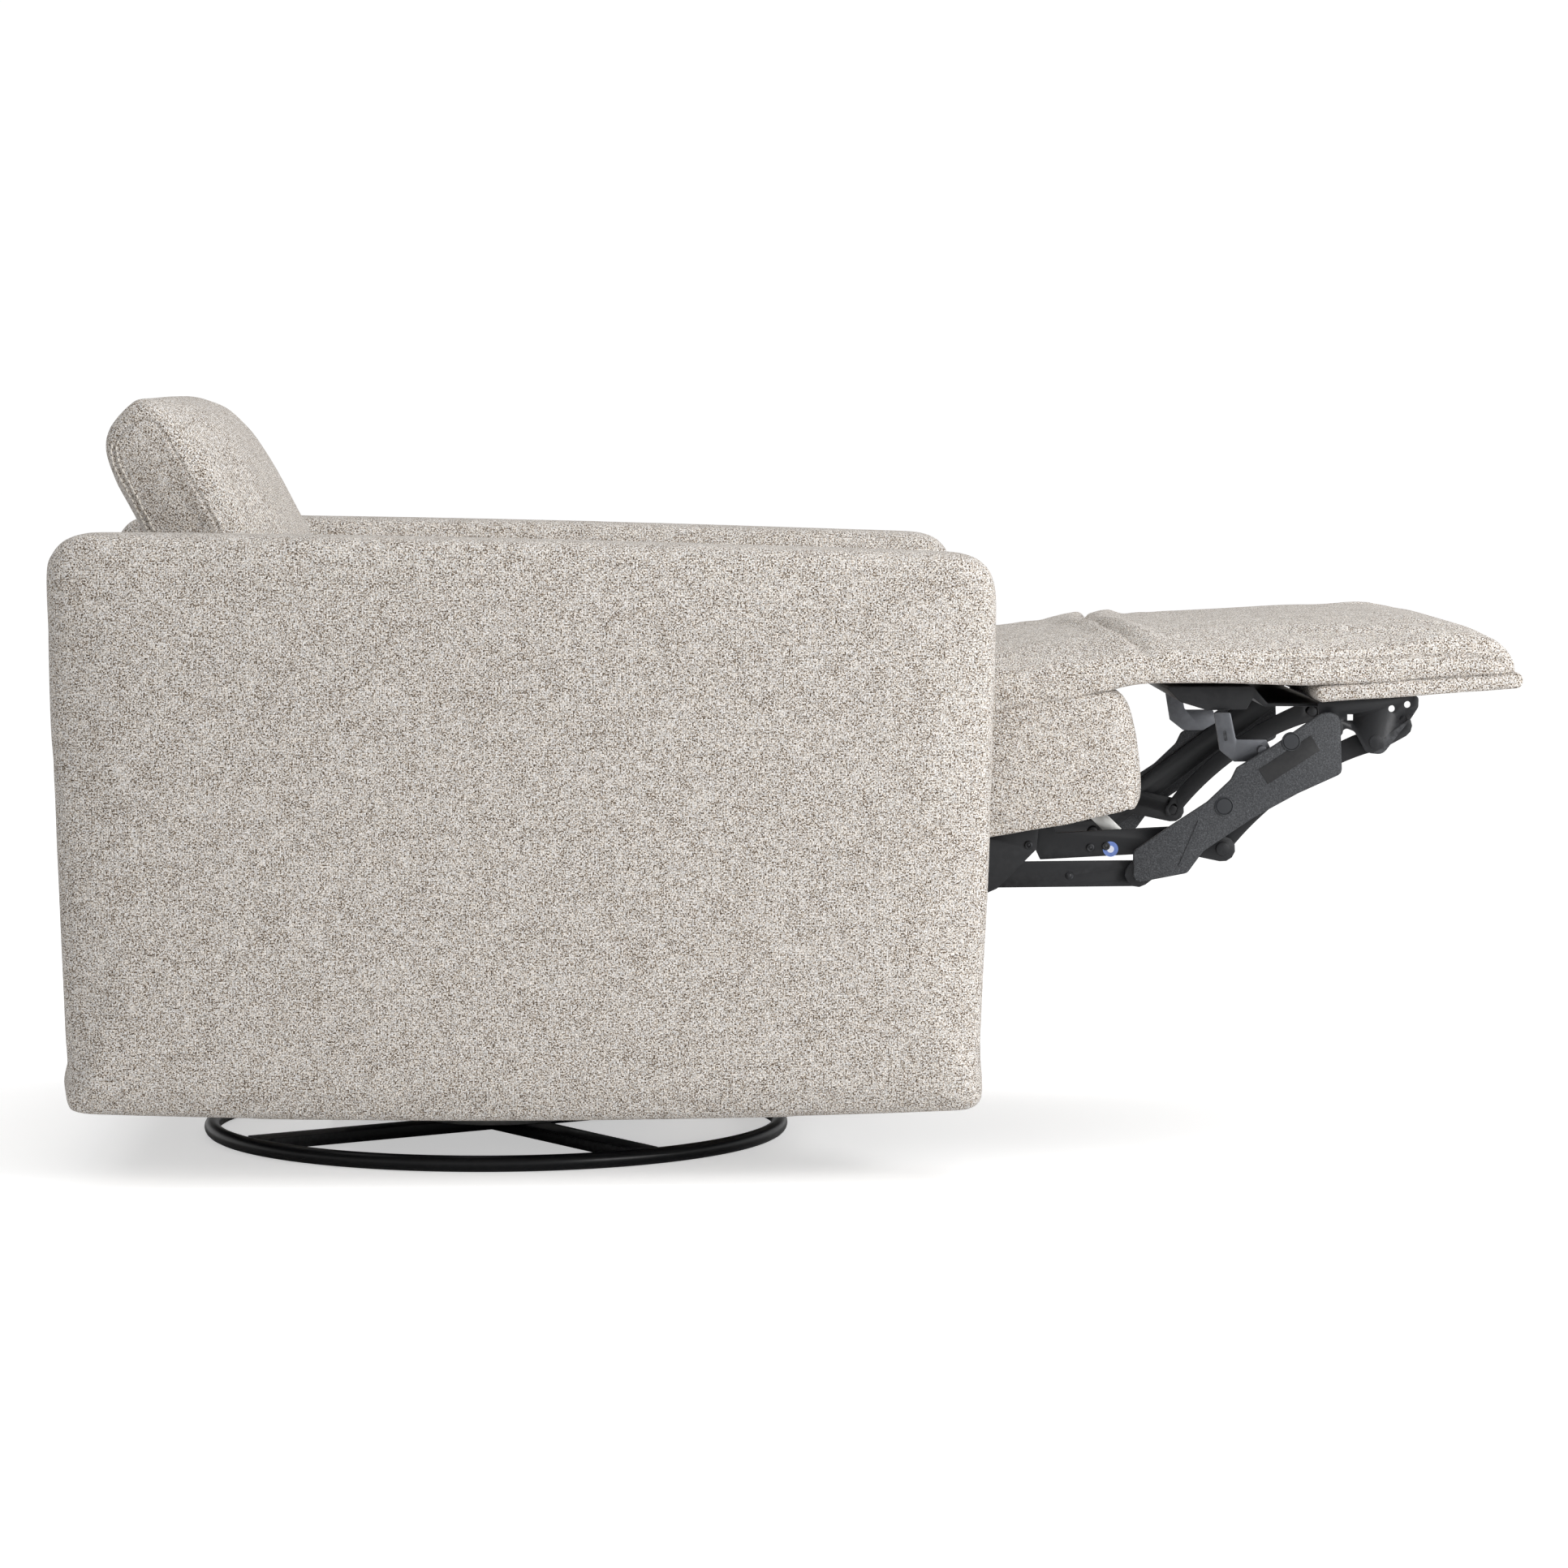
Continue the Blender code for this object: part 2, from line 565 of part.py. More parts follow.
def seat_border():
    """Upholstered border round the sides and front of the seat frame."""
    outline = rounded([
        seat_point(-SEAT_LENGTH, 0), seat_point(0, 0), seat_point(0.012, 0.055), seat_point(0, BOX_HEIGHT),
        seat_point(-SEAT_LENGTH, BOX_HEIGHT),
    ], [0.004, 0.016, 0.05, 0.018, 0.004], steps=4)
    obj = crowned("seat_border", outline, SEAT_HALF, "oatmeal_weave", edge=0.006, steps=2)
    hollow = tilted_box(
        "seat_border_hollow", (-SEAT_LENGTH - 0.05, -0.012 + GAP), (-RAIL_OUT - GAP, RAIL_OUT + GAP),
        (-0.05, RAIL_HIGH + 0.010), "plywood",
    )
    opening = tilted_box(
        "seat_border_opening",
        (-SEAT_LENGTH - 0.05, -0.034), (-RAIL_IN, RAIL_IN), (-0.05, BOX_HEIGHT + 0.05), "plywood",
    )
    combine(obj, hollow, "DIFFERENCE")
    combine(obj, opening, "DIFFERENCE")


SPRING_Y = (-0.150, 0.0, 0.150)


def seat_springs():
    """Sinuous springs clipped across the seat frame from front to back."""
    wire, wave, turns = 0.0019, 0.024, 9
    start, end = -SEAT_LENGTH + 0.020, -0.018
    for number, y in enumerate(SPRING_Y, start=1):
        curve = bpy.data.curves.new(f"seat_spring_{number}", "CURVE")
        curve.dimensions = "3D"
        curve.bevel_depth = wire
        curve.bevel_resolution = 0
        curve.use_fill_caps = True
        spline = curve.splines.new("POLY")
        steps = turns * 4
        spline.points.add(steps)
        for i, point in enumerate(spline.points):
            along = start + (end - start) * i / steps
            x, z = seat_point(along, RAIL_HIGH + wire + GAP)
            point.co = (x, y + wave * math.sin(math.pi * i / 2 + math.pi / 4), z, 1)
        curve.materials.append(finish("black_steel"))
        obj = bpy.data.objects.new(f"seat_spring_{number}", curve)
        bpy.context.scene.collection.objects.link(obj)


def seat_cushion():
    """Foam seat on the springs, thick at the front where it runs on into the footrest pad."""
    low = BOX_HEIGHT + 0.002
    outline = [
        seat_point(-0.618, low), seat_point(-0.30, low), seat_point(-0.020, low), (0.335, 0.4650), (0.358, 0.4690),
        (0.362, 0.4950), (0.352, 0.5180), (0.300, 0.5200), (0.200, 0.5120), (0.080, 0.4960), (-0.060, 0.4700),
        (-0.200, 0.4400), (-0.278, 0.4210), (-0.299, 0.3850),
    ]
    crowned("seat_cushion", outline, SEAT_HALF, "oatmeal_weave", edge=0.024)


def front_stay():
    """Bright zinc strap from the seat's front rail down to the right-hand footrest links."""
    outline = band([(0.2930, 0.3380), (0.3190, 0.3130)], 0.0068, steps=4)
    plate("front_stay", outline, 0.2140, 0.0025, -1, "zinc_steel")


def release_tab():
    """Pull tab that frees the footrest, on the sitter's right between seat and arm."""
    outline = rounded([(0.030, 0.4200), (0.062, 0.4200), (0.062, 0.5350), (0.030, 0.5350)], 0.008)
    slot = rounded([(0.0375, 0.508), (0.0545, 0.508), (0.0545, 0.5275), (0.0375, 0.5275)], 0.004)
    obj = plate("release_tab", outline, SEAT_HALF + 0.0006, 0.0030, -1, "black_cloth")
    cutter = plate("release_tab_slot", slot, SEAT_HALF - 0.01, 0.02, -1, "black_cloth")
    combine(obj, cutter, "DIFFERENCE")


# ---- back ---------------------------------------------------------------------------------------------------------
BACK_HEIGHT = 0.490
BACK_HALF = 0.258
FRAME_FRONT, FRAME_BACK = -0.018, -0.040


def back_brackets():
    """Steel arms from the seat plates up to the back frame."""
    for name, side in SIDES:
        outline = band([BACK_HINGE, back_point(-0.029, 0.030), back_point(-0.029, 0.170)], 0.010)
        hole = (*BACK_HINGE, HOLE_R)
        plate(f"back_bracket_{name}", outline, LAYER_CARRIER, PLATE, side, "black_steel", [hole])


def lean(obj):
    """Tip an object modelled upright at the back hinge to the reclined angle."""
    turn = Matrix.Rotation(-BACK_LEAN, 4, "Y")
    obj.data.transform(Matrix.Translation((BACK_HINGE[0], 0, BACK_HINGE[1])) @ turn)
    return obj


def back_frame():
    """Plywood panel of the back, between its two brackets."""
    reach = LAYER_CARRIER - 0.001
    lean(box("back_frame", (FRAME_BACK, -reach, 0.055), (FRAME_FRONT, reach, 0.400), "plywood"))


def back_cushion():
    """Stuffed front and top of the back, with a fuller lower half."""
    outline = [
        back_point(FRAME_FRONT + 0.0006, 0.035), back_point(0.060, 0.020), back_point(0.098, 0.045),
        back_point(0.102, 0.120), back_point(0.088, 0.220), back_point(0.073, 0.310), back_point(0.063, 0.380),
        back_point(0.050, 0.430), back_point(0.026, 0.468), back_point(-0.006, 0.483), back_point(-0.036, 0.470),
        back_point(-0.056, 0.440), back_point(-0.060, 0.4035), back_point(FRAME_FRONT + 0.0006, 0.4035),
    ]
    crowned("back_cushion", outline, BACK_HALF, "oatmeal_weave", edge=0.030)


def back_cover():
    """Thin padded outside of the back."""
    outline = [
        back_point(FRAME_BACK - GAP, 0.010), back_point(FRAME_BACK - GAP, 0.388), back_point(-0.060, 0.388),
        back_point(-0.062, 0.300), back_point(-0.062, 0.100), back_point(-0.056, 0.010),
    ]
    crowned("back_cover", outline, BACK_HALF, "oatmeal_weave", edge=0.012, steps=2)


# ---- footrest -----------------------------------------------------------------------------------------------------
LIFT_KNEE = Vector((0.2020, 0.2790))
CARRIER_KNEE = Vector((0.2480, 0.3060))
UPPER_TIP = Vector((0.5880, 0.4212))


def lift_links():
    """Lower cranks of the footrest linkage, joined by a torque tube so that both sides move together."""
    path = [LIFT_PIVOT, LIFT_KNEE, LIFT_END]
    for name, side in SIDES:
        outline = band(path, LINK_R)
        hole = (*LIFT_END, HOLE_R)
        obj = plate(f"lift_link_{name}", outline, LAYER_LIFT, PLATE, side, "black_steel", [hole])
        add_pin(obj, LIFT_PIVOT, (LAYER_LIFT + 0.001, LAYER_SEAT_PLATE + PLATE - 0.0003), side, "zinc_steel")
    reach = LAYER_LIFT - 0.0003
    bm = bmesh.new()
    bmesh.ops.create_cone(
        bm, cap_ends=True, segments=20, radius1=0.009, radius2=0.009, depth=2 * reach,
        matrix=Matrix.Translation((LIFT_KNEE.x, 0, LIFT_KNEE.y)) @ Matrix.Rotation(math.pi / 2, 4, "X"),
    )
    place("torque_tube", bm, "black_steel")


def carrier_links():
    """Upper cranks. They cross the long links and always stand parallel to the footrest."""
    path = [CARRIER_PIVOT, CARRIER_KNEE, CROSS_PIVOT + Vector((0, -0.004)), CARRIER_END]
    for name, side in SIDES:
        outline = band(path, LINK_R)
        hole = (*CROSS_PIVOT, HOLE_R)
        obj = plate(f"carrier_link_{name}", outline, LAYER_CARRIER, PLATE, side, "black_steel", [hole])
        add_pin(obj, CARRIER_PIVOT, (LAYER_CARRIER + 0.001, LAYER_SEAT_PLATE + PLATE - 0.0003), side, "zinc_steel")
        add_pin(obj, CARRIER_END, (LAYER_UPPER + 0.0002, LAYER_CARRIER + 0.003), side, "zinc_steel")
        add_head(obj, CARRIER_END, (LAYER_CARRIER + 0.003, LAYER_CARRIER + PLATE + 0.0018), side, "zinc_steel", 0.0065)


def long_links():
    """Outer coupler links, hidden behind the guards."""
    path = [LIFT_END, CROSS_PIVOT + Vector((0.004, -0.004)), RAIL_END]
    for name, side in SIDES:
        obj = plate(f"long_link_{name}", band(path, LINK_R), LAYER_LONG, PLATE, side, "black_steel")
        inner = LAYER_LONG + 0.003
        add_pin(obj, LIFT_END, (LAYER_LIFT + 0.0002, inner), side, "zinc_steel")
        add_pin(obj, CROSS_PIVOT, (LAYER_CARRIER + 0.0002, inner), side, "zinc_steel")
        add_pin(obj, RAIL_END, (LAYER_SEAT_PLATE + 0.0002, inner), side, "zinc_steel")


def upper_links():
    """Inner coupler links from the carrier links to the footrest brackets."""
    path = [CARRIER_END, BRACKET_END, UPPER_TIP]
    holes = [(*CARRIER_END, HOLE_R), (*BRACKET_END, HOLE_R), (*UPPER_TIP, 0.0033)]
    for name, side in SIDES:
        plate(f"upper_link_{name}", band(path, 0.0115), LAYER_UPPER, PLATE, side, "black_steel", holes)


def link_guards():
    """Moulded finger guards over the long links."""
    outline = rounded([
        (0.3280, 0.2718), (0.3800, 0.2815), (0.3953, 0.3025), (0.4430, 0.3345), (0.4864, 0.3581), (0.5284, 0.3770),
        (0.5262, 0.4360), (0.5085, 0.4355), (0.4630, 0.4043), (0.4270, 0.3830), (0.4215, 0.3715), (0.3990, 0.3502),
        (0.3557, 0.3220), (0.3280, 0.3030),
    ], [0.006, 0.006, 0.012, 0.03, 0.03, 0.006, 0.010, 0.012, 0.02, 0.006, 0.01, 0.02, 0.02, 0.006], steps=2)
    for name, side in SIDES:
        plate(f"link_guard_{name}", outline, LAYER_GUARD, 0.0060, side, "textured_plastic")


def flap_supports():
    """Pressed steel angles on the long links, on which the flap rests when the footrest is out."""
    outline = rounded([
        (0.4070, 0.4345), (0.4233, 0.4345), (0.4287, 0.4085), (0.4580, 0.4085), (0.4640, 0.3960), (0.4480, 0.3870),
        (0.4270, 0.3870), (0.4130, 0.3980),
    ], 0.002, steps=2)
    for name, side in SIDES:
        obj = plate(f"flap_support_{name}", outline, LAYER_CARRIER, PLATE - 0.001, side, "zinc_steel")
        add_pin(obj, FLAP_PIN, (LAYER_CARRIER + 0.001, LAYER_LONG - 0.0004), side, "zinc_steel", 0.0045)


def board_point(along, up):
    """World (x, z) of a point given along the footrest board from its rear lower edge and above its lower face."""
    x = BOARD_REAR + along * math.cos(BOARD_SLOPE) - up * math.sin(BOARD_SLOPE)
    z = BOARD_REAR_Z + along * math.sin(BOARD_SLOPE) + up * math.cos(BOARD_SLOPE)
    return x, z


BOARD_LENGTH = (BOARD_FRONT - BOARD_REAR) / math.cos(BOARD_SLOPE)


def footrest_board():
    """Fabric-covered board under the front of the footrest."""
    outline = rounded([
        board_point(0, 0), board_point(BOARD_LENGTH, 0), board_point(BOARD_LENGTH, BOARD_THICK),
        board_point(0, BOARD_THICK),
    ], 0.0045)
    reach = SEAT_HALF
    plate("footrest_board", outline, -reach, 2 * reach, 1, "oatmeal_weave")


def footrest_brackets():
    """Plates under the board that hinge on the long and upper links."""
    outline = rounded([
        board_point(0.004, -0.0006), (0.5090, 0.4130), (0.5210, 0.4075), (0.5330, 0.4200), (0.5420, 0.4165),
        (0.5530, 0.3960), (0.5690, 0.3945), (0.5960, 0.4290), (0.6030, 0.4400), board_point(0.1015, -0.0006),
    ], [0.001, 0.008, 0.008, 0.004, 0.006, 0.009, 0.009, 0.004, 0.006, 0.004])
    holes = [(*RAIL_END, HOLE_R), (0.5774, 0.4385, 0.0033), (0.5925, 0.4425, 0.0033)]
    for name, side in SIDES:
        obj = plate(f"footrest_bracket_{name}", outline, LAYER_SEAT_PLATE, PLATE, side, "black_steel", holes)
        pin_to = (LAYER_UPPER + 0.0002, LAYER_SEAT_PLATE + 0.003)
        add_pin(obj, BRACKET_END, pin_to, side, "zinc_steel")
        head_from = LAYER_SEAT_PLATE + 0.003
        add_head(obj, BRACKET_END, (head_from, LAYER_SEAT_PLATE + PLATE + 0.0014), side, "zinc_steel", 0.0065)


def flap_tray():
    """Folded steel tray under the soft stretch of pad between seat and footrest, carried from the board by straps."""
    outline = rounded([
        (0.3640, 0.4590), (0.3640, 0.4560), (0.3760, 0.4440), (0.4020, 0.4360), (0.4400, 0.4370), (0.4460, 0.4480),
        (0.4560, 0.4400), (0.5140, 0.4395), (0.5140, 0.4425), (0.4600, 0.4430), (0.4460, 0.4590),
    ], [0.001, 0.001, 0.004, 0.003, 0.003, 0.001, 0.001, 0.001, 0.001, 0.001, 0.003])
    reach = 0.2225
    plate("flap_tray", outline, -reach, 2 * reach, 1, "black_steel")


def footrest_cushion():
    """Padded footrest that carries on from the seat."""
    outline = [
        (0.3860, 0.4640), (0.4950, 0.4640),
        board_point(0.004, BOARD_THICK + GAP), board_point(0.100, BOARD_THICK + GAP),
        board_point(0.186, BOARD_THICK + GAP), (0.6925, 0.4860), (0.6820, 0.5020), (0.6600, 0.5130), (0.6200, 0.5220),
        (0.5600, PAD_TOP + 0.002), (0.4800, PAD_TOP), (0.4200, 0.5200), (0.3920, 0.5160), (0.3850, 0.4900),
    ]
    crowned("footrest_cushion", outline, SEAT_HALF, "oatmeal_weave", edge=0.030)


def main():
    """Build every piece of the chair."""
    clear_scene()
    base_ring()
    base_cross()
    swivel_bearing()
    swivel_plate()
    glide_brackets()
    glide_links()
    chassis_rails()
    cross_members()
    rear_panel()
    arms()
    recline_links()
    seat_plates()
    seat_frame()
    seat_border()
    seat_springs()
    seat_cushion()
    front_stay()
    release_tab()
    back_brackets()
    back_frame()
    back_cushion()
    back_cover()
    lift_links()
    carrier_links()
    long_links()
    upper_links()
    link_guards()
    flap_supports()
    footrest_board()
    footrest_brackets()
    flap_tray()
    footrest_cushion()


main()
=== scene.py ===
"""Dresses the swivel glider nursery chair: upholstery, linkage, floor ring, light and camera.

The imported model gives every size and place. The chair faces +X and its right-hand side is -Y.
"""

from __future__ import annotations

import json
import logging
import math
from dataclasses import dataclass, field
from enum import Enum
from typing import Any, Callable, Iterable, Sequence

import bmesh
import bpy
import numpy as np
from mathutils import Matrix, Vector
from mathutils.bvhtree import BVHTree
from mathutils.kdtree import KDTree

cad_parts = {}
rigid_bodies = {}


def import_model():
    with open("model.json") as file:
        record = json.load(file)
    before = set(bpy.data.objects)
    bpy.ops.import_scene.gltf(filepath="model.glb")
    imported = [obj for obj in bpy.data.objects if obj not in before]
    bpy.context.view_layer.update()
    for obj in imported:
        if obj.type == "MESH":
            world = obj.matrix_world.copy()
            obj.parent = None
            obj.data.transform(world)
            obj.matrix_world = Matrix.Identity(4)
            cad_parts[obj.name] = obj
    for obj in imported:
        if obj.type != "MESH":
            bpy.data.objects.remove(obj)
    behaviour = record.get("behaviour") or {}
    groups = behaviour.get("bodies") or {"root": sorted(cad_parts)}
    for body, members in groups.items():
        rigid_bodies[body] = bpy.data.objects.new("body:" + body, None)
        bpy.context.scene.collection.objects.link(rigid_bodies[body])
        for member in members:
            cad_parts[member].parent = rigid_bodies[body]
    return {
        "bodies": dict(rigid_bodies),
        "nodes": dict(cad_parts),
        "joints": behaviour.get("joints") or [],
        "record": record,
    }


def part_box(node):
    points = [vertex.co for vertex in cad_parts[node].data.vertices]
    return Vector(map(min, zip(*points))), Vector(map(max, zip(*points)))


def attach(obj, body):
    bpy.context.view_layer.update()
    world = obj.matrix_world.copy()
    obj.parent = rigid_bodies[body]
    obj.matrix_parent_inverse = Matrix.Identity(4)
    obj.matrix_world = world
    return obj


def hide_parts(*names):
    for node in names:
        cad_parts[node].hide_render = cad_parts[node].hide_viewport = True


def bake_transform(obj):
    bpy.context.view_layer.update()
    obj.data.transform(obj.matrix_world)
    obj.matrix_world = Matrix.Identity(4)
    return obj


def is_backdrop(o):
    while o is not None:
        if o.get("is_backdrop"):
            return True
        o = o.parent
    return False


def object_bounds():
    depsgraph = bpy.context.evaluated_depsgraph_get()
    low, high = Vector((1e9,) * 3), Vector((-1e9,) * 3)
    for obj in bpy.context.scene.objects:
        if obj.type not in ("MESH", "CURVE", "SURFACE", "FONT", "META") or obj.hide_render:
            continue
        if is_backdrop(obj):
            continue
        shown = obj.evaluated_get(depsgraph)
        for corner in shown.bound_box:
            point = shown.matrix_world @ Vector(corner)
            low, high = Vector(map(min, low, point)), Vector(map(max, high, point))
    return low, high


LOG = logging.getLogger("nursery_glider")
Point = tuple[float, float, float]
Pair = tuple[float, float]
Colour = tuple[float, float, float, float]
UV_NAME = "weave"
CUT_SHIFT = (0.37, 0.19)  # keeps the cloth on neighbouring sides of a piece from repeating


class Side(Enum):
    """The chair's two sides, named for the sitter, with the sign of Y on each."""

    RIGHT = -1
    LEFT = 1

    @property
    def word(self) -> str:
        """The side as it stands in node names."""
        return self.name.lower()


class Axis(Enum):
    """Mesh axes that a plate can lie across."""

    X = 0
    Y = 1
    Z = 2


# ---- node graphs --------------------------------------------------------------------------------------------------
class Sock:
    """A node output that takes part in arithmetic."""

    def __init__(self, graph: "Graph", socket: bpy.types.NodeSocket) -> None:
        """Wrap a socket.

        Args:
            graph: The graph that holds the socket's node.
            socket: The output socket.
        """
        self.graph = graph
        self.socket = socket

    def of(self, name: str) -> "Sock":
        """Return another output of the same node."""
        return Sock(self.graph, self.socket.node.outputs[name])

    def math(self, operation: str, *others: Any, first: Any = None) -> "Sock":
        """Add a Math node.

        Args:
            operation: The node's operation.
            others: Its further inputs.
            first: A value that takes this socket's place as first input, for reflected operators.

        Returns:
            The result.
        """
        values = [self, *others] if first is None else [first, self]
        return self.graph.node("ShaderNodeMath", dict(enumerate(values)), operation=operation)

    def __add__(self, other: Any) -> "Sock":
        """Add."""
        return self.math("ADD", other)

    def __radd__(self, other: Any) -> "Sock":
        """Add, reflected."""
        return self.math("ADD", other)

    def __sub__(self, other: Any) -> "Sock":
        """Subtract."""
        return self.math("SUBTRACT", other)

    def __rsub__(self, other: Any) -> "Sock":
        """Subtract, reflected."""
        return self.math("SUBTRACT", first=other)

    def __mul__(self, other: Any) -> "Sock":
        """Multiply."""
        return self.math("MULTIPLY", other)

    def __rmul__(self, other: Any) -> "Sock":
        """Multiply, reflected."""
        return self.math("MULTIPLY", other)

    def clamp(self) -> "Sock":
        """Limit to 0 to 1."""
        return self.graph.node("ShaderNodeClamp", {"Value": self})

    def ramp(self, low: float, high: float) -> "Sock":
        """Map low to 0 and high to 1 smoothly, clamped."""
        inputs = {"Value": self, "From Min": low, "From Max": high}
        return self.graph.node("ShaderNodeMapRange", inputs, interpolation_type="SMOOTHSTEP")


class Graph:
    """Builds nodes in one tree."""

    def __init__(self, tree: bpy.types.NodeTree) -> None:
        """Wrap a node tree."""
        self.tree = tree

    def node(self, kind: str, inputs: dict[Any, Any] | None = None, output: Any = 0, **settings: Any) -> Sock:
        """Add a node, set its settings, then fill its sockets.

        Args:
            kind: The node's type.
            inputs: Values or sockets by input name or index.
            output: The output that is returned, by name or index.
            settings: Attributes of the node; stops holds a colour ramp's (position, colour) pairs.

        Returns:
            The chosen output.
        """
        made = self.tree.nodes.new(kind)
        stops = settings.pop("stops", None)
        for key, value in settings.items():
            setattr(made, key, value)
        if stops:
            elements = made.color_ramp.elements
            while len(elements) < len(stops):
                elements.new(0.5)
            for element, (position, colour) in zip(elements, stops):
                element.position = position
                element.color = colour
        for key, value in (inputs or {}).items():
            socket = made.inputs[key]
            if isinstance(value, Sock):
                self.tree.links.new(value.socket, socket)
            else:
                socket.default_value = value
        return Sock(self, made.outputs[output] if made.outputs else None)

    def blend(self, factor: Any, low: Any, high: Any, kind: str = "MIX") -> Sock:
        """Mix two colours.

        Args:
            factor: Share of the second colour.
            low: First colour.
            high: Second colour.
            kind: Blend type.

        Returns:
            The mixed colour.
        """
        return self.node("ShaderNodeMix", {0: factor, 6: low, 7: high}, output=2, data_type="RGBA", blend_type=kind)

    def noise(self, where: Sock, scale: float, detail: float = 2.0, rough: float = 0.5) -> Sock:
        """Return a noise value.

        Args:
            where: Coordinates.
            scale: Features per unit.
            detail: Octaves.
            rough: Share kept from octave to octave.

        Returns:
            The noise, about 0 to 1.
        """
        inputs = {"Vector": where, "Scale": scale, "Detail": detail, "Roughness": rough}
        return self.node("ShaderNodeTexNoise", inputs)


# ---- finishes -----------------------------------------------------------------------------------------------------
@dataclass(frozen=True)
class Finish:
    """A surface finish. Its material is made on first use."""

    name: str
    slot: str

    def paint(self, graph: Graph, shader: bpy.types.Node) -> None:
        """Link or set the shader's sockets."""
        raise NotImplementedError

    def material(self) -> bpy.types.Material:
        """Return the finish's material."""
        if self.name in bpy.data.materials:
            return bpy.data.materials[self.name]
        made = bpy.data.materials.new(self.name)
        made.use_nodes = True
        graph = Graph(made.node_tree)
        self.paint(graph, made.node_tree.nodes["Principled BSDF"])
        return made

    @staticmethod
    def link(graph: Graph, shader: bpy.types.Node, name: str, value: Any) -> None:
        """Link a socket or set a plain value on one of the shader's inputs."""
        if isinstance(value, Sock):
            graph.tree.links.new(value.socket, shader.inputs[name])
        else:
            shader.inputs[name].default_value = value


@dataclass(frozen=True)
class Tweed(Finish):
    """Nubby upholstery cloth: a plain weave of pale grey and cream yarn with tan and dark brown flecks."""

    nub: float = 0.0016
    fleck: float = 0.0014
    cluster: float = 0.010
    dark: Colour = (0.070, 0.050, 0.035, 1)
    tan: Colour = (0.270, 0.200, 0.135, 1)
    cream: Colour = (0.755, 0.697, 0.627, 1)
    grey: Colour = (0.765, 0.757, 0.754, 1)
    # Strength of the painted shade in the gaps between the yarn nubs.
    hollow: float = 0.57

    def paint(self, graph: Graph, shader: bpy.types.Node) -> None:
        """Weave the yarns from cells along the cloth's own UV map, which is in metres."""
        where = graph.node("ShaderNodeUVMap", uv_map=UV_NAME)
        cells = graph.node(
            "ShaderNodeTexVoronoi", {"Vector": where, "Scale": 1 / self.nub, "Randomness": 0.40},
            output="Distance", voronoi_dimensions="2D",
        )
        yarn = graph.node("ShaderNodeSeparateColor", {"Color": cells.of("Color")})
        patches = graph.noise(where, 1 / self.cluster, 3.0, 0.6) + (graph.noise(where, 30.0, 1.0) - 0.5) * 0.40
        flecks = graph.noise(where, 1 / self.fleck, 2.0, 0.55) + (patches - 0.5) * 0.17 + (yarn - 0.5) * 0.12
        colour = graph.blend(yarn.of("Green") * 0.8 + patches * 0.3 - 0.05, self.cream, self.grey)
        colour = graph.blend(flecks.ramp(0.47, 0.60), colour, self.tan)
        colour = graph.blend(flecks.ramp(0.58, 0.66), colour, self.dark)
        # Painted shade: the base colour darkens towards the cell edges, in the gaps between the nubs. It is multiplied
        # by a random tone for each yarn, which is the cloth's own colour.
        gap_shade_mask = cells.ramp(0.30, 0.75)
        shade = (1 - gap_shade_mask * self.hollow) * (0.86 + yarn.of("Blue") * 0.42)
        gap_shade_and_yarn_tone = graph.node("ShaderNodeCombineColor", {"Red": shade, "Green": shade, "Blue": shade})
        self.link(graph, shader, "Base Color", graph.blend(1.0, colour, gap_shade_and_yarn_tone, "MULTIPLY"))
        fuzz = graph.noise(where, 1 / (self.nub * 0.45), 2.0)
        height = (1 - cells) * 0.9 + fuzz * 0.35 + yarn * 0.2
        bump = graph.node("ShaderNodeBump", {"Height": height, "Strength": 0.6, "Distance": 0.0010})
        self.link(graph, shader, "Normal", bump)
        self.link(graph, shader, "Roughness", 0.93)
        self.link(graph, shader, "Sheen Weight", 0.10)
        self.link(graph, shader, "Sheen Roughness", 0.6)
        self.link(graph, shader, "Specular IOR Level", 0.12)


@dataclass(frozen=True)
class Coated(Finish):
    """Powder-coated or plated steel, with faint orange peel and lighter worn edges."""

    colour: Colour = (0.0095, 0.0100, 0.0118, 1)
    edge: Colour = (0.060, 0.062, 0.068, 1)
    rough: float = 0.40
    metal: float = 0.0
    peel: float = 0.12

    def paint(self, graph: Graph, shader: bpy.types.Node) -> None:
        """Vary colour and roughness over object coordinates."""
        where = graph.node("ShaderNodeTexCoord", output="Object")
        cloud = graph.noise(where, 45.0, 3.0)
        fine = graph.noise(where, 900.0, 2.0)
        corner = graph.node("ShaderNodeNewGeometry", output="Pointiness").ramp(0.52, 0.60)
        wear = (corner * graph.noise(where, 160.0, 2.0).ramp(0.35, 0.70)).clamp()
        self.link(graph, shader, "Base Color", graph.blend(wear * 0.8, self.colour, self.edge))
        self.link(graph, shader, "Roughness", self.rough - 0.06 + cloud * 0.12 + fine * 0.04)
        self.link(graph, shader, "Metallic", self.metal)
        self.link(graph, shader, "Specular IOR Level", 0.36)
        bump = graph.node("ShaderNodeBump", {"Height": fine, "Strength": self.peel, "Distance": 0.0004})
        self.link(graph, shader, "Normal", bump)


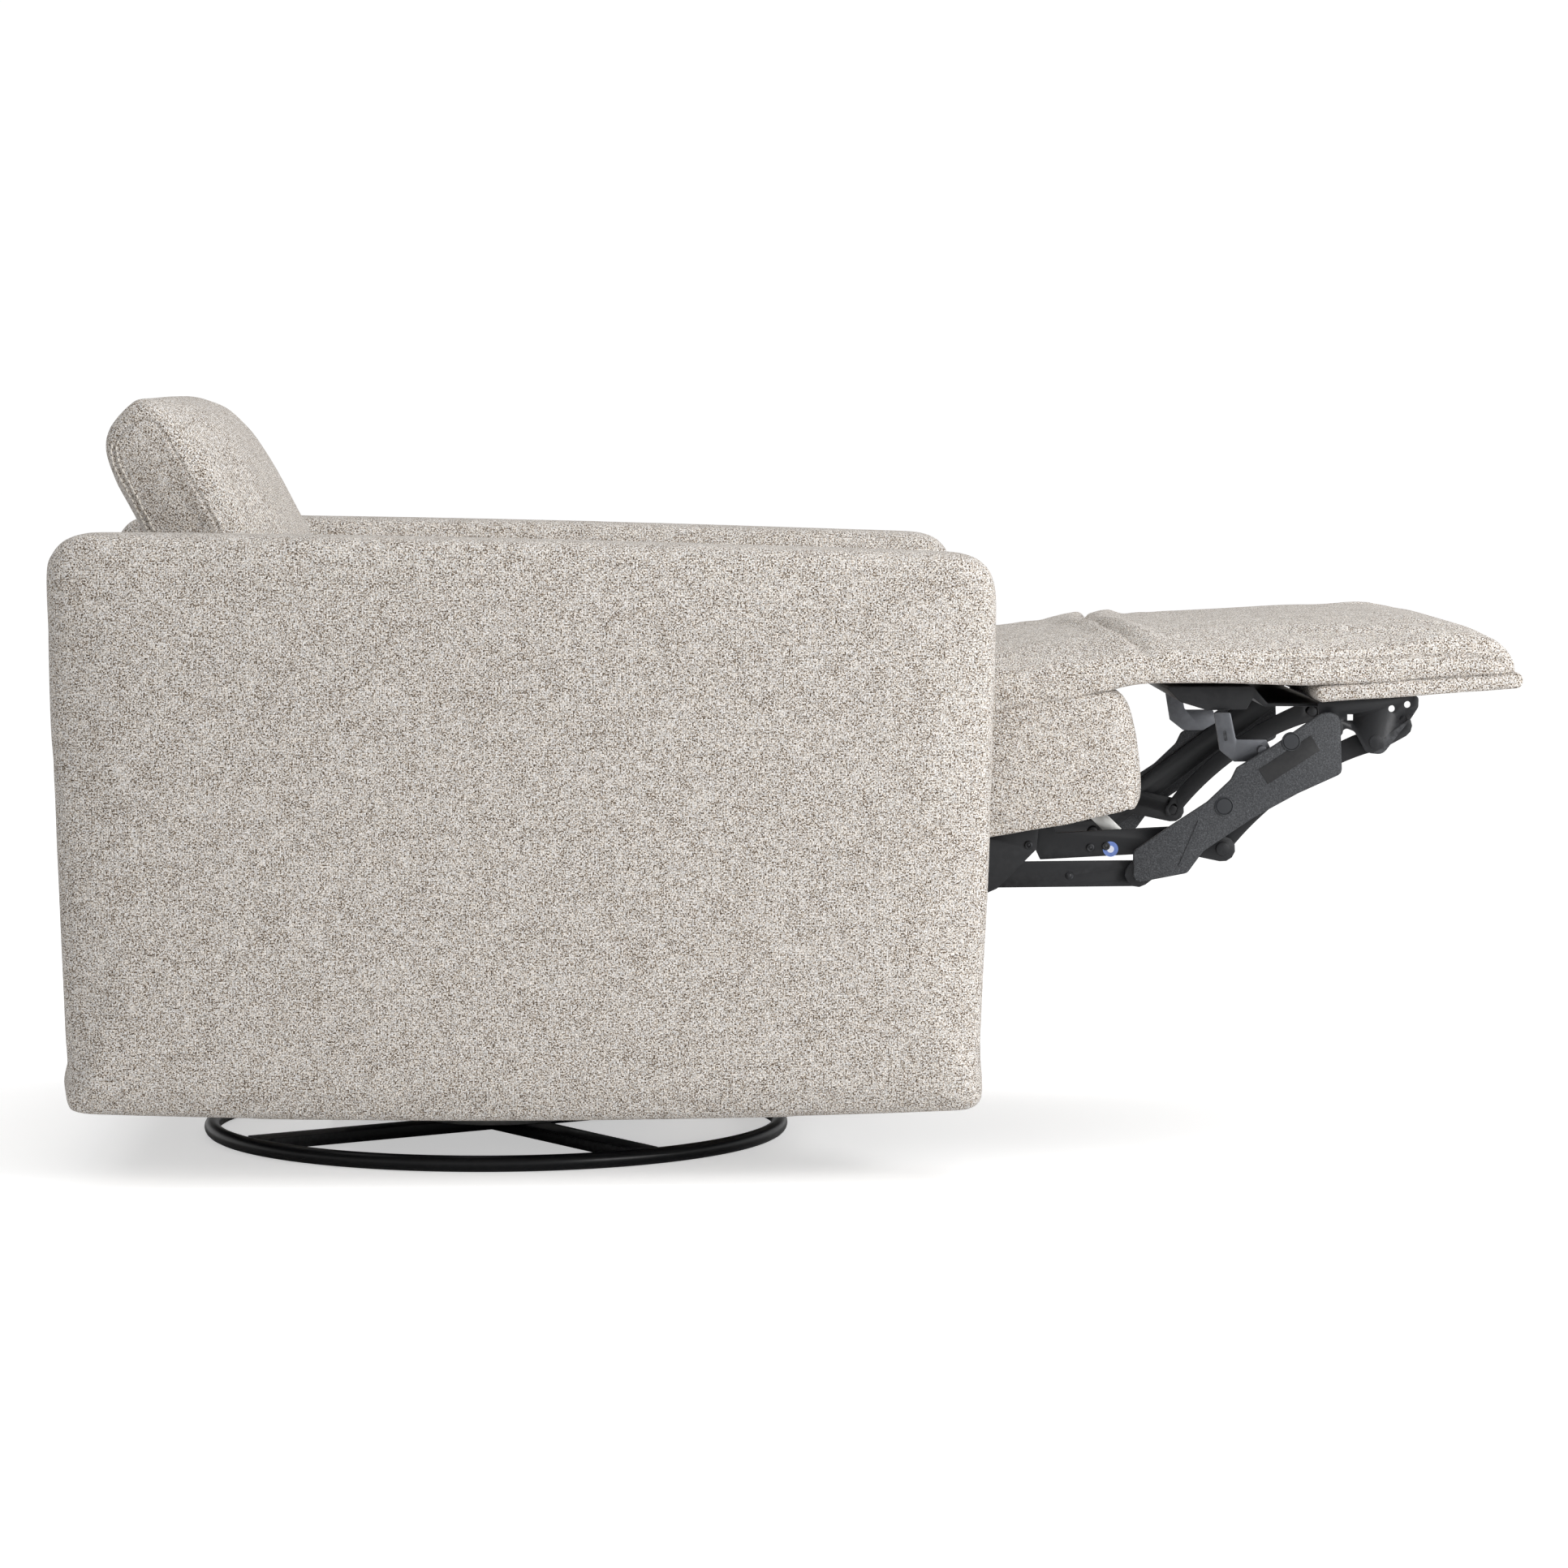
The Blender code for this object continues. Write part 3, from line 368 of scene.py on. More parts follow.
@dataclass(frozen=True)
class Moulded(Finish):
    """Charcoal plastic with a fine leather-like moulded grain."""

    colour: Colour = (0.026, 0.028, 0.032, 1)
    pale: Colour = (0.125, 0.130, 0.140, 1)
    grain: float = 0.0014

    def paint(self, graph: Graph, shader: bpy.types.Node) -> None:
        """Grain over object coordinates."""
        where = graph.node("ShaderNodeTexCoord", output="Object")
        cells = graph.node(
            "ShaderNodeTexVoronoi", {"Vector": where, "Scale": 1 / self.grain, "Smoothness": 0.6},
            output="Distance", feature="SMOOTH_F1",
        )
        fine = graph.noise(where, 850.0, 2.0)
        speck = (fine.ramp(0.50, 0.70) * 0.55 + cells.ramp(0.25, 0.65) * 0.30).clamp()
        self.link(graph, shader, "Base Color", graph.blend(speck, self.colour, self.pale))
        self.link(graph, shader, "Roughness", 0.52 + fine * 0.18)
        bump = graph.node("ShaderNodeBump", {"Height": cells + fine * 0.5, "Strength": 0.5, "Distance": 0.0005})
        self.link(graph, shader, "Normal", bump)


@dataclass(frozen=True)
class Plywood(Finish):
    """Raw plywood with plies that show along the Z axis."""

    def paint(self, graph: Graph, shader: bpy.types.Node) -> None:
        """Grain along X, plies along Y and Z."""
        where = graph.node("ShaderNodeTexCoord", output="Object")
        stretched = graph.node("ShaderNodeMapping", {"Vector": where, "Scale": (4.0, 60.0, 60.0)})
        grain = graph.noise(stretched, 3.0, 5.0, 0.6)
        stops = ((0.0, (0.36, 0.23, 0.12, 1)), (0.5, (0.55, 0.39, 0.23, 1)), (1.0, (0.68, 0.52, 0.34, 1)))
        self.link(graph, shader, "Base Color", graph.node("ShaderNodeValToRGB", {"Fac": grain}, stops=stops))
        self.link(graph, shader, "Roughness", 0.62 + grain * 0.2)
        bump = graph.node("ShaderNodeBump", {"Height": grain, "Strength": 0.25, "Distance": 0.0006})
        self.link(graph, shader, "Normal", bump)


@dataclass(frozen=True)
class Plain(Finish):
    """Thread, webbing and paper: one colour with a fine fibre."""

    colour: Colour = (0.02, 0.02, 0.022, 1)
    second: Colour = (0.05, 0.05, 0.054, 1)
    fibre: float = 0.0010
    rough: float = 0.85
    coat: float = 0.0

    def paint(self, graph: Graph, shader: bpy.types.Node) -> None:
        """Fibres over object coordinates."""
        where = graph.node("ShaderNodeTexCoord", output="Object")
        fibre = graph.noise(where, 1 / self.fibre, 3.0)
        self.link(graph, shader, "Base Color", graph.blend(fibre.ramp(0.3, 0.7), self.colour, self.second))
        self.link(graph, shader, "Roughness", self.rough - 0.08 + fibre * 0.12)
        self.link(graph, shader, "Coat Weight", self.coat)
        bump = graph.node("ShaderNodeBump", {"Height": fibre, "Strength": 0.3, "Distance": 0.0003})
        self.link(graph, shader, "Normal", bump)


TWEED = Tweed("oatmeal_tweed", "oatmeal_weave")
BLACK = Coated("black_powder_coat", "black_steel")
RING_BLACK = Coated("ring_black", "black_steel", colour=(0.004, 0.0045, 0.006, 1), rough=0.30)
GREY = Coated("grey_pressed_steel", "zinc_steel", (0.125, 0.130, 0.142, 1), (0.30, 0.31, 0.33, 1), 0.34, 0.75)
ZINC = Coated("zinc_plate", "zinc_steel", (0.56, 0.56, 0.54, 1), (0.78, 0.78, 0.78, 1), 0.36, 0.9)
GUARD = Moulded("charcoal_guard", "textured_plastic", (0.018, 0.0195, 0.0225, 1), (0.090, 0.094, 0.102, 1))
CAP = Coated("guard_cap", "textured_plastic", (0.026, 0.028, 0.032, 1), (0.07, 0.075, 0.08, 1), 0.46)
PLY = Plywood("raw_plywood", "plywood")
CLOTH = Plain("black_dust_cloth", "black_cloth")
THREAD = Plain("seam_thread", "oatmeal_weave", (0.74, 0.69, 0.61, 1), (0.86, 0.82, 0.76, 1), 0.0006, 0.9)
LABEL = Plain("blank_label", "textured_plastic", (0.006, 0.006, 0.007, 1), (0.010, 0.010, 0.011, 1), 0.004, 0.42)
DOT_BLUE = Plain("inspection_dot", "zinc_steel", (0.12, 0.20, 0.52, 1), (0.16, 0.25, 0.60, 1), 0.003, 0.45, 0.2)
DOT_PALE = Plain("inspection_dot_pale", "zinc_steel", (0.70, 0.73, 0.85, 1), (0.78, 0.80, 0.90, 1), 0.003, 0.45, 0.2)


# ---- mesh work ----------------------------------------------------------------------------------------------------
def add_mesh(name: str, bm: bmesh.types.BMesh, finish: Finish) -> bpy.types.Object:
    """Turn a bmesh into a scene object at the origin.

    Args:
        name: The piece's name.
        bm: Its mesh, which is freed.
        finish: Its finish.

    Returns:
        The object.
    """
    bmesh.ops.remove_doubles(bm, verts=bm.verts, dist=1e-6)
    bmesh.ops.recalc_face_normals(bm, faces=bm.faces)
    mesh = bpy.data.meshes.new(name)
    bm.to_mesh(mesh)
    bm.free()
    mesh.shade_smooth()
    mesh.materials.append(finish.material())
    made = bpy.data.objects.new(name, mesh)
    bpy.context.scene.collection.objects.link(made)
    return made


def settle(piece: bpy.types.Object) -> None:
    """Apply every modifier of a piece to its mesh."""
    bpy.context.view_layer.update()
    graph = bpy.context.evaluated_depsgraph_get()
    mesh = bpy.data.meshes.new_from_object(piece.evaluated_get(graph), depsgraph=graph)
    old = piece.data
    piece.modifiers.clear()
    piece.data = mesh
    mesh.name = piece.name
    bpy.data.meshes.remove(old)


def soften_edges(piece: bpy.types.Object, degrees: float = 32.0) -> None:
    """Shade a piece smooth, with its edges sharp past an angle."""
    piece.data.shade_smooth()
    piece.data.set_sharp_from_angle(angle=math.radians(degrees))


def mount(piece: bpy.types.Object, body: str, finish: Finish, nodes: Iterable[str] = ()) -> bpy.types.Object:
    """Fix a finished piece to its body.

    Args:
        piece: The piece, at the origin.
        body: The body that it rides on.
        finish: Its finish; not used.
        nodes: The model nodes that it stands for.

    Returns:
        The piece.
    """
    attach(piece, body)
    names = list(nodes)
    if names:
        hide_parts(*names)
    LOG.info("%s rides on %s", piece.name, body)
    return piece


def box_of(node: str) -> tuple[Vector, Vector]:
    """Return a model node's lowest and highest corners."""
    low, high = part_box(node)
    return Vector(low), Vector(high)


def outer_face(node: str) -> float:
    """Return how far from the chair's middle plane a model node reaches."""
    return max(abs(corner.y) for corner in box_of(node))


def points_of(mesh: bpy.types.Mesh) -> np.ndarray:
    """Return a mesh's vertices as an array."""
    flat = np.empty(len(mesh.vertices) * 3)
    mesh.vertices.foreach_get("co", flat)
    return flat.reshape(-1, 3)


def normals_of(mesh: bpy.types.Mesh) -> np.ndarray:
    """Return a mesh's vertex normals as an array."""
    flat = np.empty(len(mesh.vertices) * 3)
    mesh.vertices.foreach_get("normal", flat)
    return flat.reshape(-1, 3)


def move_points(mesh: bpy.types.Mesh, places: np.ndarray) -> None:
    """Write a mesh's vertices from an array."""
    mesh.vertices.foreach_set("co", places.astype(np.float32).ravel())
    mesh.update()


def turned(values: np.ndarray, angle: float) -> np.ndarray:
    """Turn an array of vectors about +Y by an angle in radians."""
    c, s = math.cos(angle), math.sin(angle)
    return np.stack([values[:, 0] * c - values[:, 2] * s, values[:, 1], values[:, 0] * s + values[:, 2] * c], 1)


def lay_cloth_map(mesh: bpy.types.Mesh, turn: float = 0.0) -> None:
    """Give a mesh a UV map in metres, each face laid flat along the axis that it faces most.

    Args:
        mesh: The mesh.
        turn: Angle by which the cloth is turned about +Y first, in radians.
    """
    corner = np.empty(len(mesh.loops), dtype=np.int64)
    mesh.loops.foreach_get("vertex_index", corner)
    counts = np.empty(len(mesh.polygons), dtype=np.int64)
    mesh.polygons.foreach_get("loop_total", counts)
    facing = np.empty(len(mesh.polygons) * 3)
    mesh.polygons.foreach_get("normal", facing)
    facing = np.abs(turned(facing.reshape(-1, 3), turn))
    chosen = np.repeat(np.argmax(facing, 1), counts)
    spots = turned(points_of(mesh), turn)[corner]
    across = np.where(chosen == Axis.X.value, 1, 0)
    up = np.where(chosen == Axis.Z.value, 1, 2)
    rows = np.arange(len(corner))
    flat = np.stack([spots[rows, across] + chosen * CUT_SHIFT[0], spots[rows, up] + chosen * CUT_SHIFT[1]], 1)
    layer = mesh.uv_layers.get(UV_NAME) or mesh.uv_layers.new(name=UV_NAME)
    layer.data.foreach_set("uv", flat.astype(np.float32).ravel())


def loft(name: str, rings: Sequence[Sequence[Point]], finish: Finish) -> bpy.types.Object:
    """Make a closed body through rings of equal count, capped at both ends.

    Args:
        name: The piece's name.
        rings: Rings of points.
        finish: The finish.

    Returns:
        The object.
    """
    bm = bmesh.new()
    made = [[bm.verts.new(p) for p in ring] for ring in rings]
    for near, far in zip(made, made[1:]):
        for j in range(len(near)):
            k = (j + 1) % len(near)
            bm.faces.new((near[j], near[k], far[k], far[j]))
    bm.faces.new(made[0])
    bm.faces.new(list(reversed(made[-1])))
    bmesh.ops.triangulate(bm, faces=[f for f in bm.faces if len(f.verts) > 4])
    return add_mesh(name, bm, finish)


def remesh(piece: bpy.types.Object, voxel: float, smooth: int = 4) -> None:
    """Rebuild a closed piece as even quads.

    Args:
        piece: The piece.
        voxel: Size of a quad in metres.
        smooth: Rounds of smoothing after it.
    """
    modifier = piece.modifiers.new("even", "REMESH")
    modifier.mode = "VOXEL"
    modifier.voxel_size = voxel
    modifier.use_smooth_shade = True
    if smooth:
        relax = piece.modifiers.new("relax", "SMOOTH")
        relax.factor = 0.5
        relax.iterations = smooth
    settle(piece)


@dataclass(frozen=True)
class Puff:
    """How a pad is blown up by cloth simulation."""

    pressure: float = 4.0
    cap: float = 0.010
    frames: int = 20
    stiffness: float = 15.0
    bending: float = 0.8

    def run(self, piece: bpy.types.Object, held: np.ndarray | None = None) -> None:
        """Simulate the piece's cloth under pressure and keep the result.

        Args:
            piece: An evenly meshed closed piece.
            held: For each vertex, 1 where it is sewn or rests on something and 0 where it is free.
        """
        before = points_of(piece.data)
        cloth = piece.modifiers.new("stuffing", "CLOTH")
        settings = cloth.settings
        settings.quality = 5
        settings.tension_stiffness = settings.compression_stiffness = self.stiffness
        settings.shear_stiffness = self.stiffness * 0.4
        settings.bending_stiffness = self.bending
        settings.use_pressure = True
        settings.uniform_pressure_force = self.pressure
        settings.effector_weights.gravity = 0.0
        cloth.collision_settings.use_collision = False
        cloth.point_cache.frame_start = 1
        cloth.point_cache.frame_end = self.frames
        if held is not None:
            group = piece.vertex_groups.new(name="sewn")
            for index in np.nonzero(held > 0.01)[0]:
                group.add([int(index)], float(held[index]), "REPLACE")
            settings.vertex_group_mass = group.name
        scene = bpy.context.scene
        for number in range(1, self.frames + 1):
            scene.frame_set(number)
        graph = bpy.context.evaluated_depsgraph_get()
        after = points_of(piece.evaluated_get(graph).to_mesh())
        piece.modifiers.clear()
        piece.vertex_groups.clear()
        scene.frame_set(1)
        step = after - before
        length = np.linalg.norm(step, axis=1, keepdims=True)
        step *= np.minimum(1.0, self.cap / np.maximum(length, 1e-9))
        move_points(piece.data, before + step)


def resample(path: Sequence[Point], spacing: float) -> np.ndarray:
    """Points at even spacing along a polyline."""
    places = np.array(path, float)
    steps = np.linalg.norm(np.diff(places, axis=0), axis=1)
    along = np.concatenate([[0], np.cumsum(steps)])
    count = max(2, int(round(along[-1] / spacing)) + 1)
    wanted = np.linspace(0, along[-1], count)
    return np.stack([np.interp(wanted, along, places[:, i]) for i in range(3)], 1)


def fit(piece: bpy.types.Object, low: Vector, high: Vector) -> None:
    """Scale a piece's mesh into a box.

    Args:
        piece: The piece.
        low: The box's lowest corner.
        high: Its highest corner.
    """
    places = points_of(piece.data)
    first, last = places.min(0), places.max(0)
    move_points(piece.data, np.array(low) + (places - first) * (np.array(high) - np.array(low)) / (last - first))


def distance_to(places: np.ndarray, path: np.ndarray) -> np.ndarray:
    """Distance from each place to the nearest point of a path."""
    tree = KDTree(len(path))
    for index, spot in enumerate(path):
        tree.insert(spot, index)
    tree.balance()
    return np.array([tree.find(p)[2] for p in places])


def split_near(piece: bpy.types.Object, line: np.ndarray, reach: float, cuts: int = 2) -> None:
    """Split the edges close to a line into shorter ones.

    Args:
        piece: The piece.
        line: Points of the line.
        reach: How near an edge must be.
        cuts: Cuts in each edge.
    """
    bm = bmesh.new()
    bm.from_mesh(piece.data)
    places = points_of(piece.data)
    low, high = line.min(0) - reach, line.max(0) + reach
    boxed = np.nonzero(((places > low) & (places < high)).all(1))[0]
    near = set(boxed[distance_to(places[boxed], line) < reach].tolist())
    edges = [e for e in bm.edges if e.verts[0].index in near and e.verts[1].index in near]
    bmesh.ops.subdivide_edges(bm, edges=edges, cuts=cuts, use_grid_fill=True)
    bm.to_mesh(piece.data)
    bm.free()


def groove(piece: bpy.types.Object, path: Sequence[Point], width: float, depth: float) -> None:
    """Press a sewn line into a piece.

    Args:
        piece: The piece.
        path: The line, near the surface.
        width: Half width of the hollow.
        depth: Its depth.
    """
    line = resample(path, width * 0.4)
    split_near(piece, line, width * 4)
    places = points_of(piece.data)
    low, high = line.min(0) - 3 * width, line.max(0) + 3 * width
    near = np.nonzero(((places > low) & (places < high)).all(1))[0]
    away = distance_to(places[near], line)
    push = depth * np.exp(-((away / width) ** 2))
    places[near] -= normals_of(piece.data)[near] * push[:, None]
    move_points(piece.data, places)


def onto(piece: bpy.types.Object, path: Sequence[Point], lift: float = 0.0) -> list[Point]:
    """Lay a path on a piece's surface.

    Args:
        piece: The piece.
        path: Points near its surface.
        lift: Height above the surface.

    Returns:
        The points on the surface.
    """
    mesh = piece.data
    tree = BVHTree.FromPolygons([v.co for v in mesh.vertices], [p.vertices[:] for p in mesh.polygons])
    found = []
    for spot in path:
        place, normal, _, _ = tree.find_nearest(Vector(spot))
        found.append(tuple(place + normal * lift))
    return found


def thicken(piece: bpy.types.Object, wall: float) -> None:
    """Give a sheet a wall on its inner side."""
    shell = piece.modifiers.new("thickness", "SOLIDIFY")
    shell.thickness = wall
    shell.offset = -1
    settle(piece)


def refine(piece: bpy.types.Object, levels: int = 1) -> None:
    """Subdivide a piece."""
    modifier = piece.modifiers.new("fine", "SUBSURF")
    modifier.levels = modifier.render_levels = levels
    settle(piece)
    piece.data.shade_smooth()


# ---- geometry node trees ------------------------------------------------------------------------------------------
class Repeat:
    """A Geometry Nodes tree that repeats a small shape along a path or at points."""

    def __init__(self, name: str, sizes: dict[str, float]) -> None:
        """Start a tree.

        Args:
            name: The tree's name.
            sizes: Default values of its named size inputs.
        """
        self.tree = bpy.data.node_groups.new(name, "GeometryNodeTree")
        face = self.tree.interface
        face.new_socket(name="Geometry", in_out="INPUT", socket_type="NodeSocketGeometry")
        for key, value in sizes.items():
            socket = face.new_socket(name=key, in_out="INPUT", socket_type="NodeSocketFloat")
            socket.default_value = value
        face.new_socket(name="Material", in_out="INPUT", socket_type="NodeSocketMaterial")
        face.new_socket(name="Geometry", in_out="OUTPUT", socket_type="NodeSocketGeometry")
        self.graph = Graph(self.tree)
        self.given = self.graph.node("NodeGroupInput")

    def close(self, shape: Sock) -> None:
        """Realize the instances, set the material and end the tree."""
        graph = self.graph
        real = graph.node("GeometryNodeRealizeInstances", {"Geometry": shape})
        smooth = graph.node("GeometryNodeSetShadeSmooth", {"Geometry": real})
        dressed = graph.node("GeometryNodeSetMaterial", {"Geometry": smooth, "Material": self.given.of("Material")})
        graph.node("NodeGroupOutput", {"Geometry": dressed})

    def make(self, name: str, base: bpy.types.Mesh, finish: Finish, **sizes: float) -> bpy.types.Object:
        """Run the tree on a mesh and keep a plain mesh.

        Args:
            name: The piece's name.
            base: The mesh that the tree reads.
            finish: The finish.
            sizes: Values for the tree's named inputs.

        Returns:
            The piece.
        """
        piece = bpy.data.objects.new(name, base)
        bpy.context.scene.collection.objects.link(piece)
        modifier = piece.modifiers.new("repeat", "NODES")
        modifier.node_group = self.tree
        for item in self.tree.interface.items_tree:
            if item.item_type != "SOCKET" or item.in_out != "INPUT":
                continue
            if item.name == "Material":
                modifier[item.identifier] = finish.material()
            elif item.name in sizes:
                modifier[item.identifier] = float(sizes[item.name])
        settle(piece)
        return piece


def stitch_tree() -> Repeat:
    """Return the tree that sews a run of stitches along a line of edges."""
    kit = Repeat("stitch_run", {"Pitch": 0.006, "Length": 0.0042, "Radius": 0.0007})
    graph = kit.graph
    line = graph.node("GeometryNodeMeshToCurve", {"Mesh": kit.given.of("Geometry")})
    even = graph.node("GeometryNodeResampleCurve", {"Curve": line, "Length": kit.given.of("Pitch")}, mode="LENGTH")
    bead = graph.node("GeometryNodeMeshUVSphere", {"Segments": 8, "Rings": 5, "Radius": 1.0})
    along = graph.node("GeometryNodeInputTangent")
    turn = graph.node("FunctionNodeAlignRotationToVector", {"Vector": along}, axis="Z")
    radius = kit.given.of("Radius")
    half = kit.given.of("Length") * 0.5
    size = graph.node("ShaderNodeCombineXYZ", {"X": radius, "Y": radius, "Z": half})
    inputs = {"Points": even, "Instance": bead, "Rotation": turn, "Scale": size}
    kit.close(graph.node("GeometryNodeInstanceOnPoints", inputs))
    return kit


def rivet_tree() -> Repeat:
    """Return the tree that sets a hollow rivet head at each point, along its axis attribute."""
    kit = Repeat("rivet_heads", {"Radius": 0.0045, "Height": 0.0016})
    graph = kit.graph
    radius, height = kit.given.of("Radius"), kit.given.of("Height")
    disc = graph.node("GeometryNodeMeshCylinder", {"Vertices": 20, "Radius": radius * 0.96, "Depth": height * 0.9})
    rim = graph.node("GeometryNodeCurvePrimitiveCircle", {"Resolution": 20, "Radius": radius * 0.66})
    wire = graph.node("GeometryNodeCurvePrimitiveCircle", {"Resolution": 6, "Radius": height * 0.60})
    roll = graph.node("GeometryNodeCurveToMesh", {"Curve": rim, "Profile Curve": wire})
    raised = graph.node(
        "GeometryNodeTransform",
        {"Geometry": roll, "Translation": graph.node("ShaderNodeCombineXYZ", {"Z": height * 0.4})},
    )
    head = graph.node("GeometryNodeJoinGeometry")
    for part in (disc, raised):
        graph.tree.links.new(part.socket, head.socket.node.inputs[0])
    axis = graph.node("GeometryNodeInputNamedAttribute", {"Name": "axis"}, data_type="FLOAT_VECTOR")
    turn = graph.node("FunctionNodeAlignRotationToVector", {"Vector": axis}, axis="Z")
    inputs = {"Points": kit.given.of("Geometry"), "Instance": head, "Rotation": turn}
    kit.close(graph.node("GeometryNodeInstanceOnPoints", inputs))
    return kit


def wire_tree() -> Repeat:
    """Return the tree that draws round wire along a line of edges."""
    kit = Repeat("bent_wire", {"Radius": 0.0019, "Pitch": 0.006})
    graph = kit.graph
    line = graph.node("GeometryNodeMeshToCurve", {"Mesh": kit.given.of("Geometry")})
    even = graph.node("GeometryNodeResampleCurve", {"Curve": line, "Length": kit.given.of("Pitch")}, mode="LENGTH")
    profile = graph.node("GeometryNodeCurvePrimitiveCircle", {"Resolution": 8, "Radius": kit.given.of("Radius")})
    inputs = {"Curve": even, "Profile Curve": profile, "Fill Caps": True}
    kit.close(graph.node("GeometryNodeCurveToMesh", inputs))
    return kit


def line_mesh(name: str, path: Sequence[Point], closed: bool = False) -> bpy.types.Mesh:
    """Return a mesh of edges through a path."""
    mesh = bpy.data.meshes.new(name)
    count = len(path)
    edges = [(i, (i + 1) % count) for i in range(count if closed else count - 1)]
    mesh.from_pydata([tuple(p) for p in path], edges, [])
    return mesh


def spot_mesh(name: str, spots: Sequence[Point], axis: Point) -> bpy.types.Mesh:
    """Return a mesh of loose points that all carry one axis."""
    mesh = bpy.data.meshes.new(name)
    mesh.from_pydata([tuple(p) for p in spots], [], [])
    attribute = mesh.attributes.new("axis", "FLOAT_VECTOR", "POINT")
    attribute.data.foreach_set("vector", [v for _ in spots for v in axis])
    return mesh


@dataclass
class Trees:
    """The three node trees that the sub-assemblies share: stitches, rivet heads and wires."""

    stitches: Repeat = field(default_factory=stitch_tree)
    rivets: Repeat = field(default_factory=rivet_tree)
    wires: Repeat = field(default_factory=wire_tree)


# ---- soft sub-assemblies ------------------------------------------------------------------------------------------
def smooth_curve(knots: Sequence[Pair], wanted: np.ndarray) -> np.ndarray:
    """Monotone cubic curve through (position, value) knots, read at the wanted positions."""
    x = np.array([k[0] for k in knots], float)
    y = np.array([k[1] for k in knots], float)
    step = np.diff(x)
    rise = np.diff(y) / step
    slope = np.zeros_like(y)
    slope[0], slope[-1] = rise[0], rise[-1]
    for i in range(1, len(x) - 1):
        if rise[i - 1] * rise[i] > 0:
            w1, w2 = 2 * step[i] + step[i - 1], step[i] + 2 * step[i - 1]
            slope[i] = (w1 + w2) / (w1 / rise[i - 1] + w2 / rise[i])
    index = np.clip(np.searchsorted(x, wanted) - 1, 0, len(x) - 2)
    t = (wanted - x[index]) / step[index]
    h = step[index]
    return (
        (2 * t**3 - 3 * t**2 + 1) * y[index] + (t**3 - 2 * t**2 + t) * h * slope[index]
        + (-2 * t**3 + 3 * t**2) * y[index + 1] + (t**3 - t**2) * h * slope[index + 1]
    )


def hold_crest(
    places: np.ndarray, along: Callable[[np.ndarray], np.ndarray], out: Callable[[np.ndarray], np.ndarray],
    direction: Vector, knots: Sequence[Pair], base: Sequence[Pair], fade: float = 0.0,
) -> np.ndarray:
    """Shift the upper part of a pad so that its highest line follows a given profile again.

    Args:
        places: The pad's vertices.
        along: Gives each vertex's station.
        out: Gives each vertex's height.
        direction: Direction of height in space.
        knots: The wanted profile of the highest line.
        base: The profile of the underside.
        fade: Length before the last station over which the shift dies away.

    Returns:
        The shifted vertices.
    """
    station, height = along(places), out(places)
    stops = np.linspace(knots[0][0], knots[-1][0], 110)
    reach = 0.75 * (stops[1] - stops[0])
    top = np.array([height[np.abs(station - s) < reach].max(initial=-9.0) for s in stops])
    wanted = smooth_curve(knots, stops)
    known = top > -9.0
    lack = np.interp(stops, stops[known], np.clip(wanted[known] - top[known], -0.02, 0.02))
    lack *= np.clip((stops[-1] - stops) / (fade or 1e-9), 0, 1) ** 0.5
    for _ in range(4):
        lack[1:-1] = np.convolve(lack, (0.25, 0.5, 0.25), "valid")
    at = np.clip(station, stops[0], stops[-1])
    floor = smooth_curve(base, np.clip(at, base[0][0], base[-1][0]))
    ceiling = np.interp(at, stops[known], top[known])
    share = np.clip((height - floor) / np.maximum(ceiling - floor, 1e-4), 0, 1)
    share = share * share * (3 - 2 * share)
    return places + np.array(direction) * (np.interp(at, stops, lack) * share)[:, None]


def quarter(centre: Pair, radius: float, start: float, steps: int) -> list[Pair]:
    """Points on a quarter circle, without its two ends.

    Args:
        centre: Its centre.
        radius: Its radius.
        start: Angle at which it starts, in degrees.
        steps: Number of steps from end to end.

    Returns:
        The points.
    """
    angles = [math.radians(start + 90 * i / steps) for i in range(1, steps)]
    return [(centre[0] + radius * math.cos(a), centre[1] + radius * math.sin(a)) for a in angles]


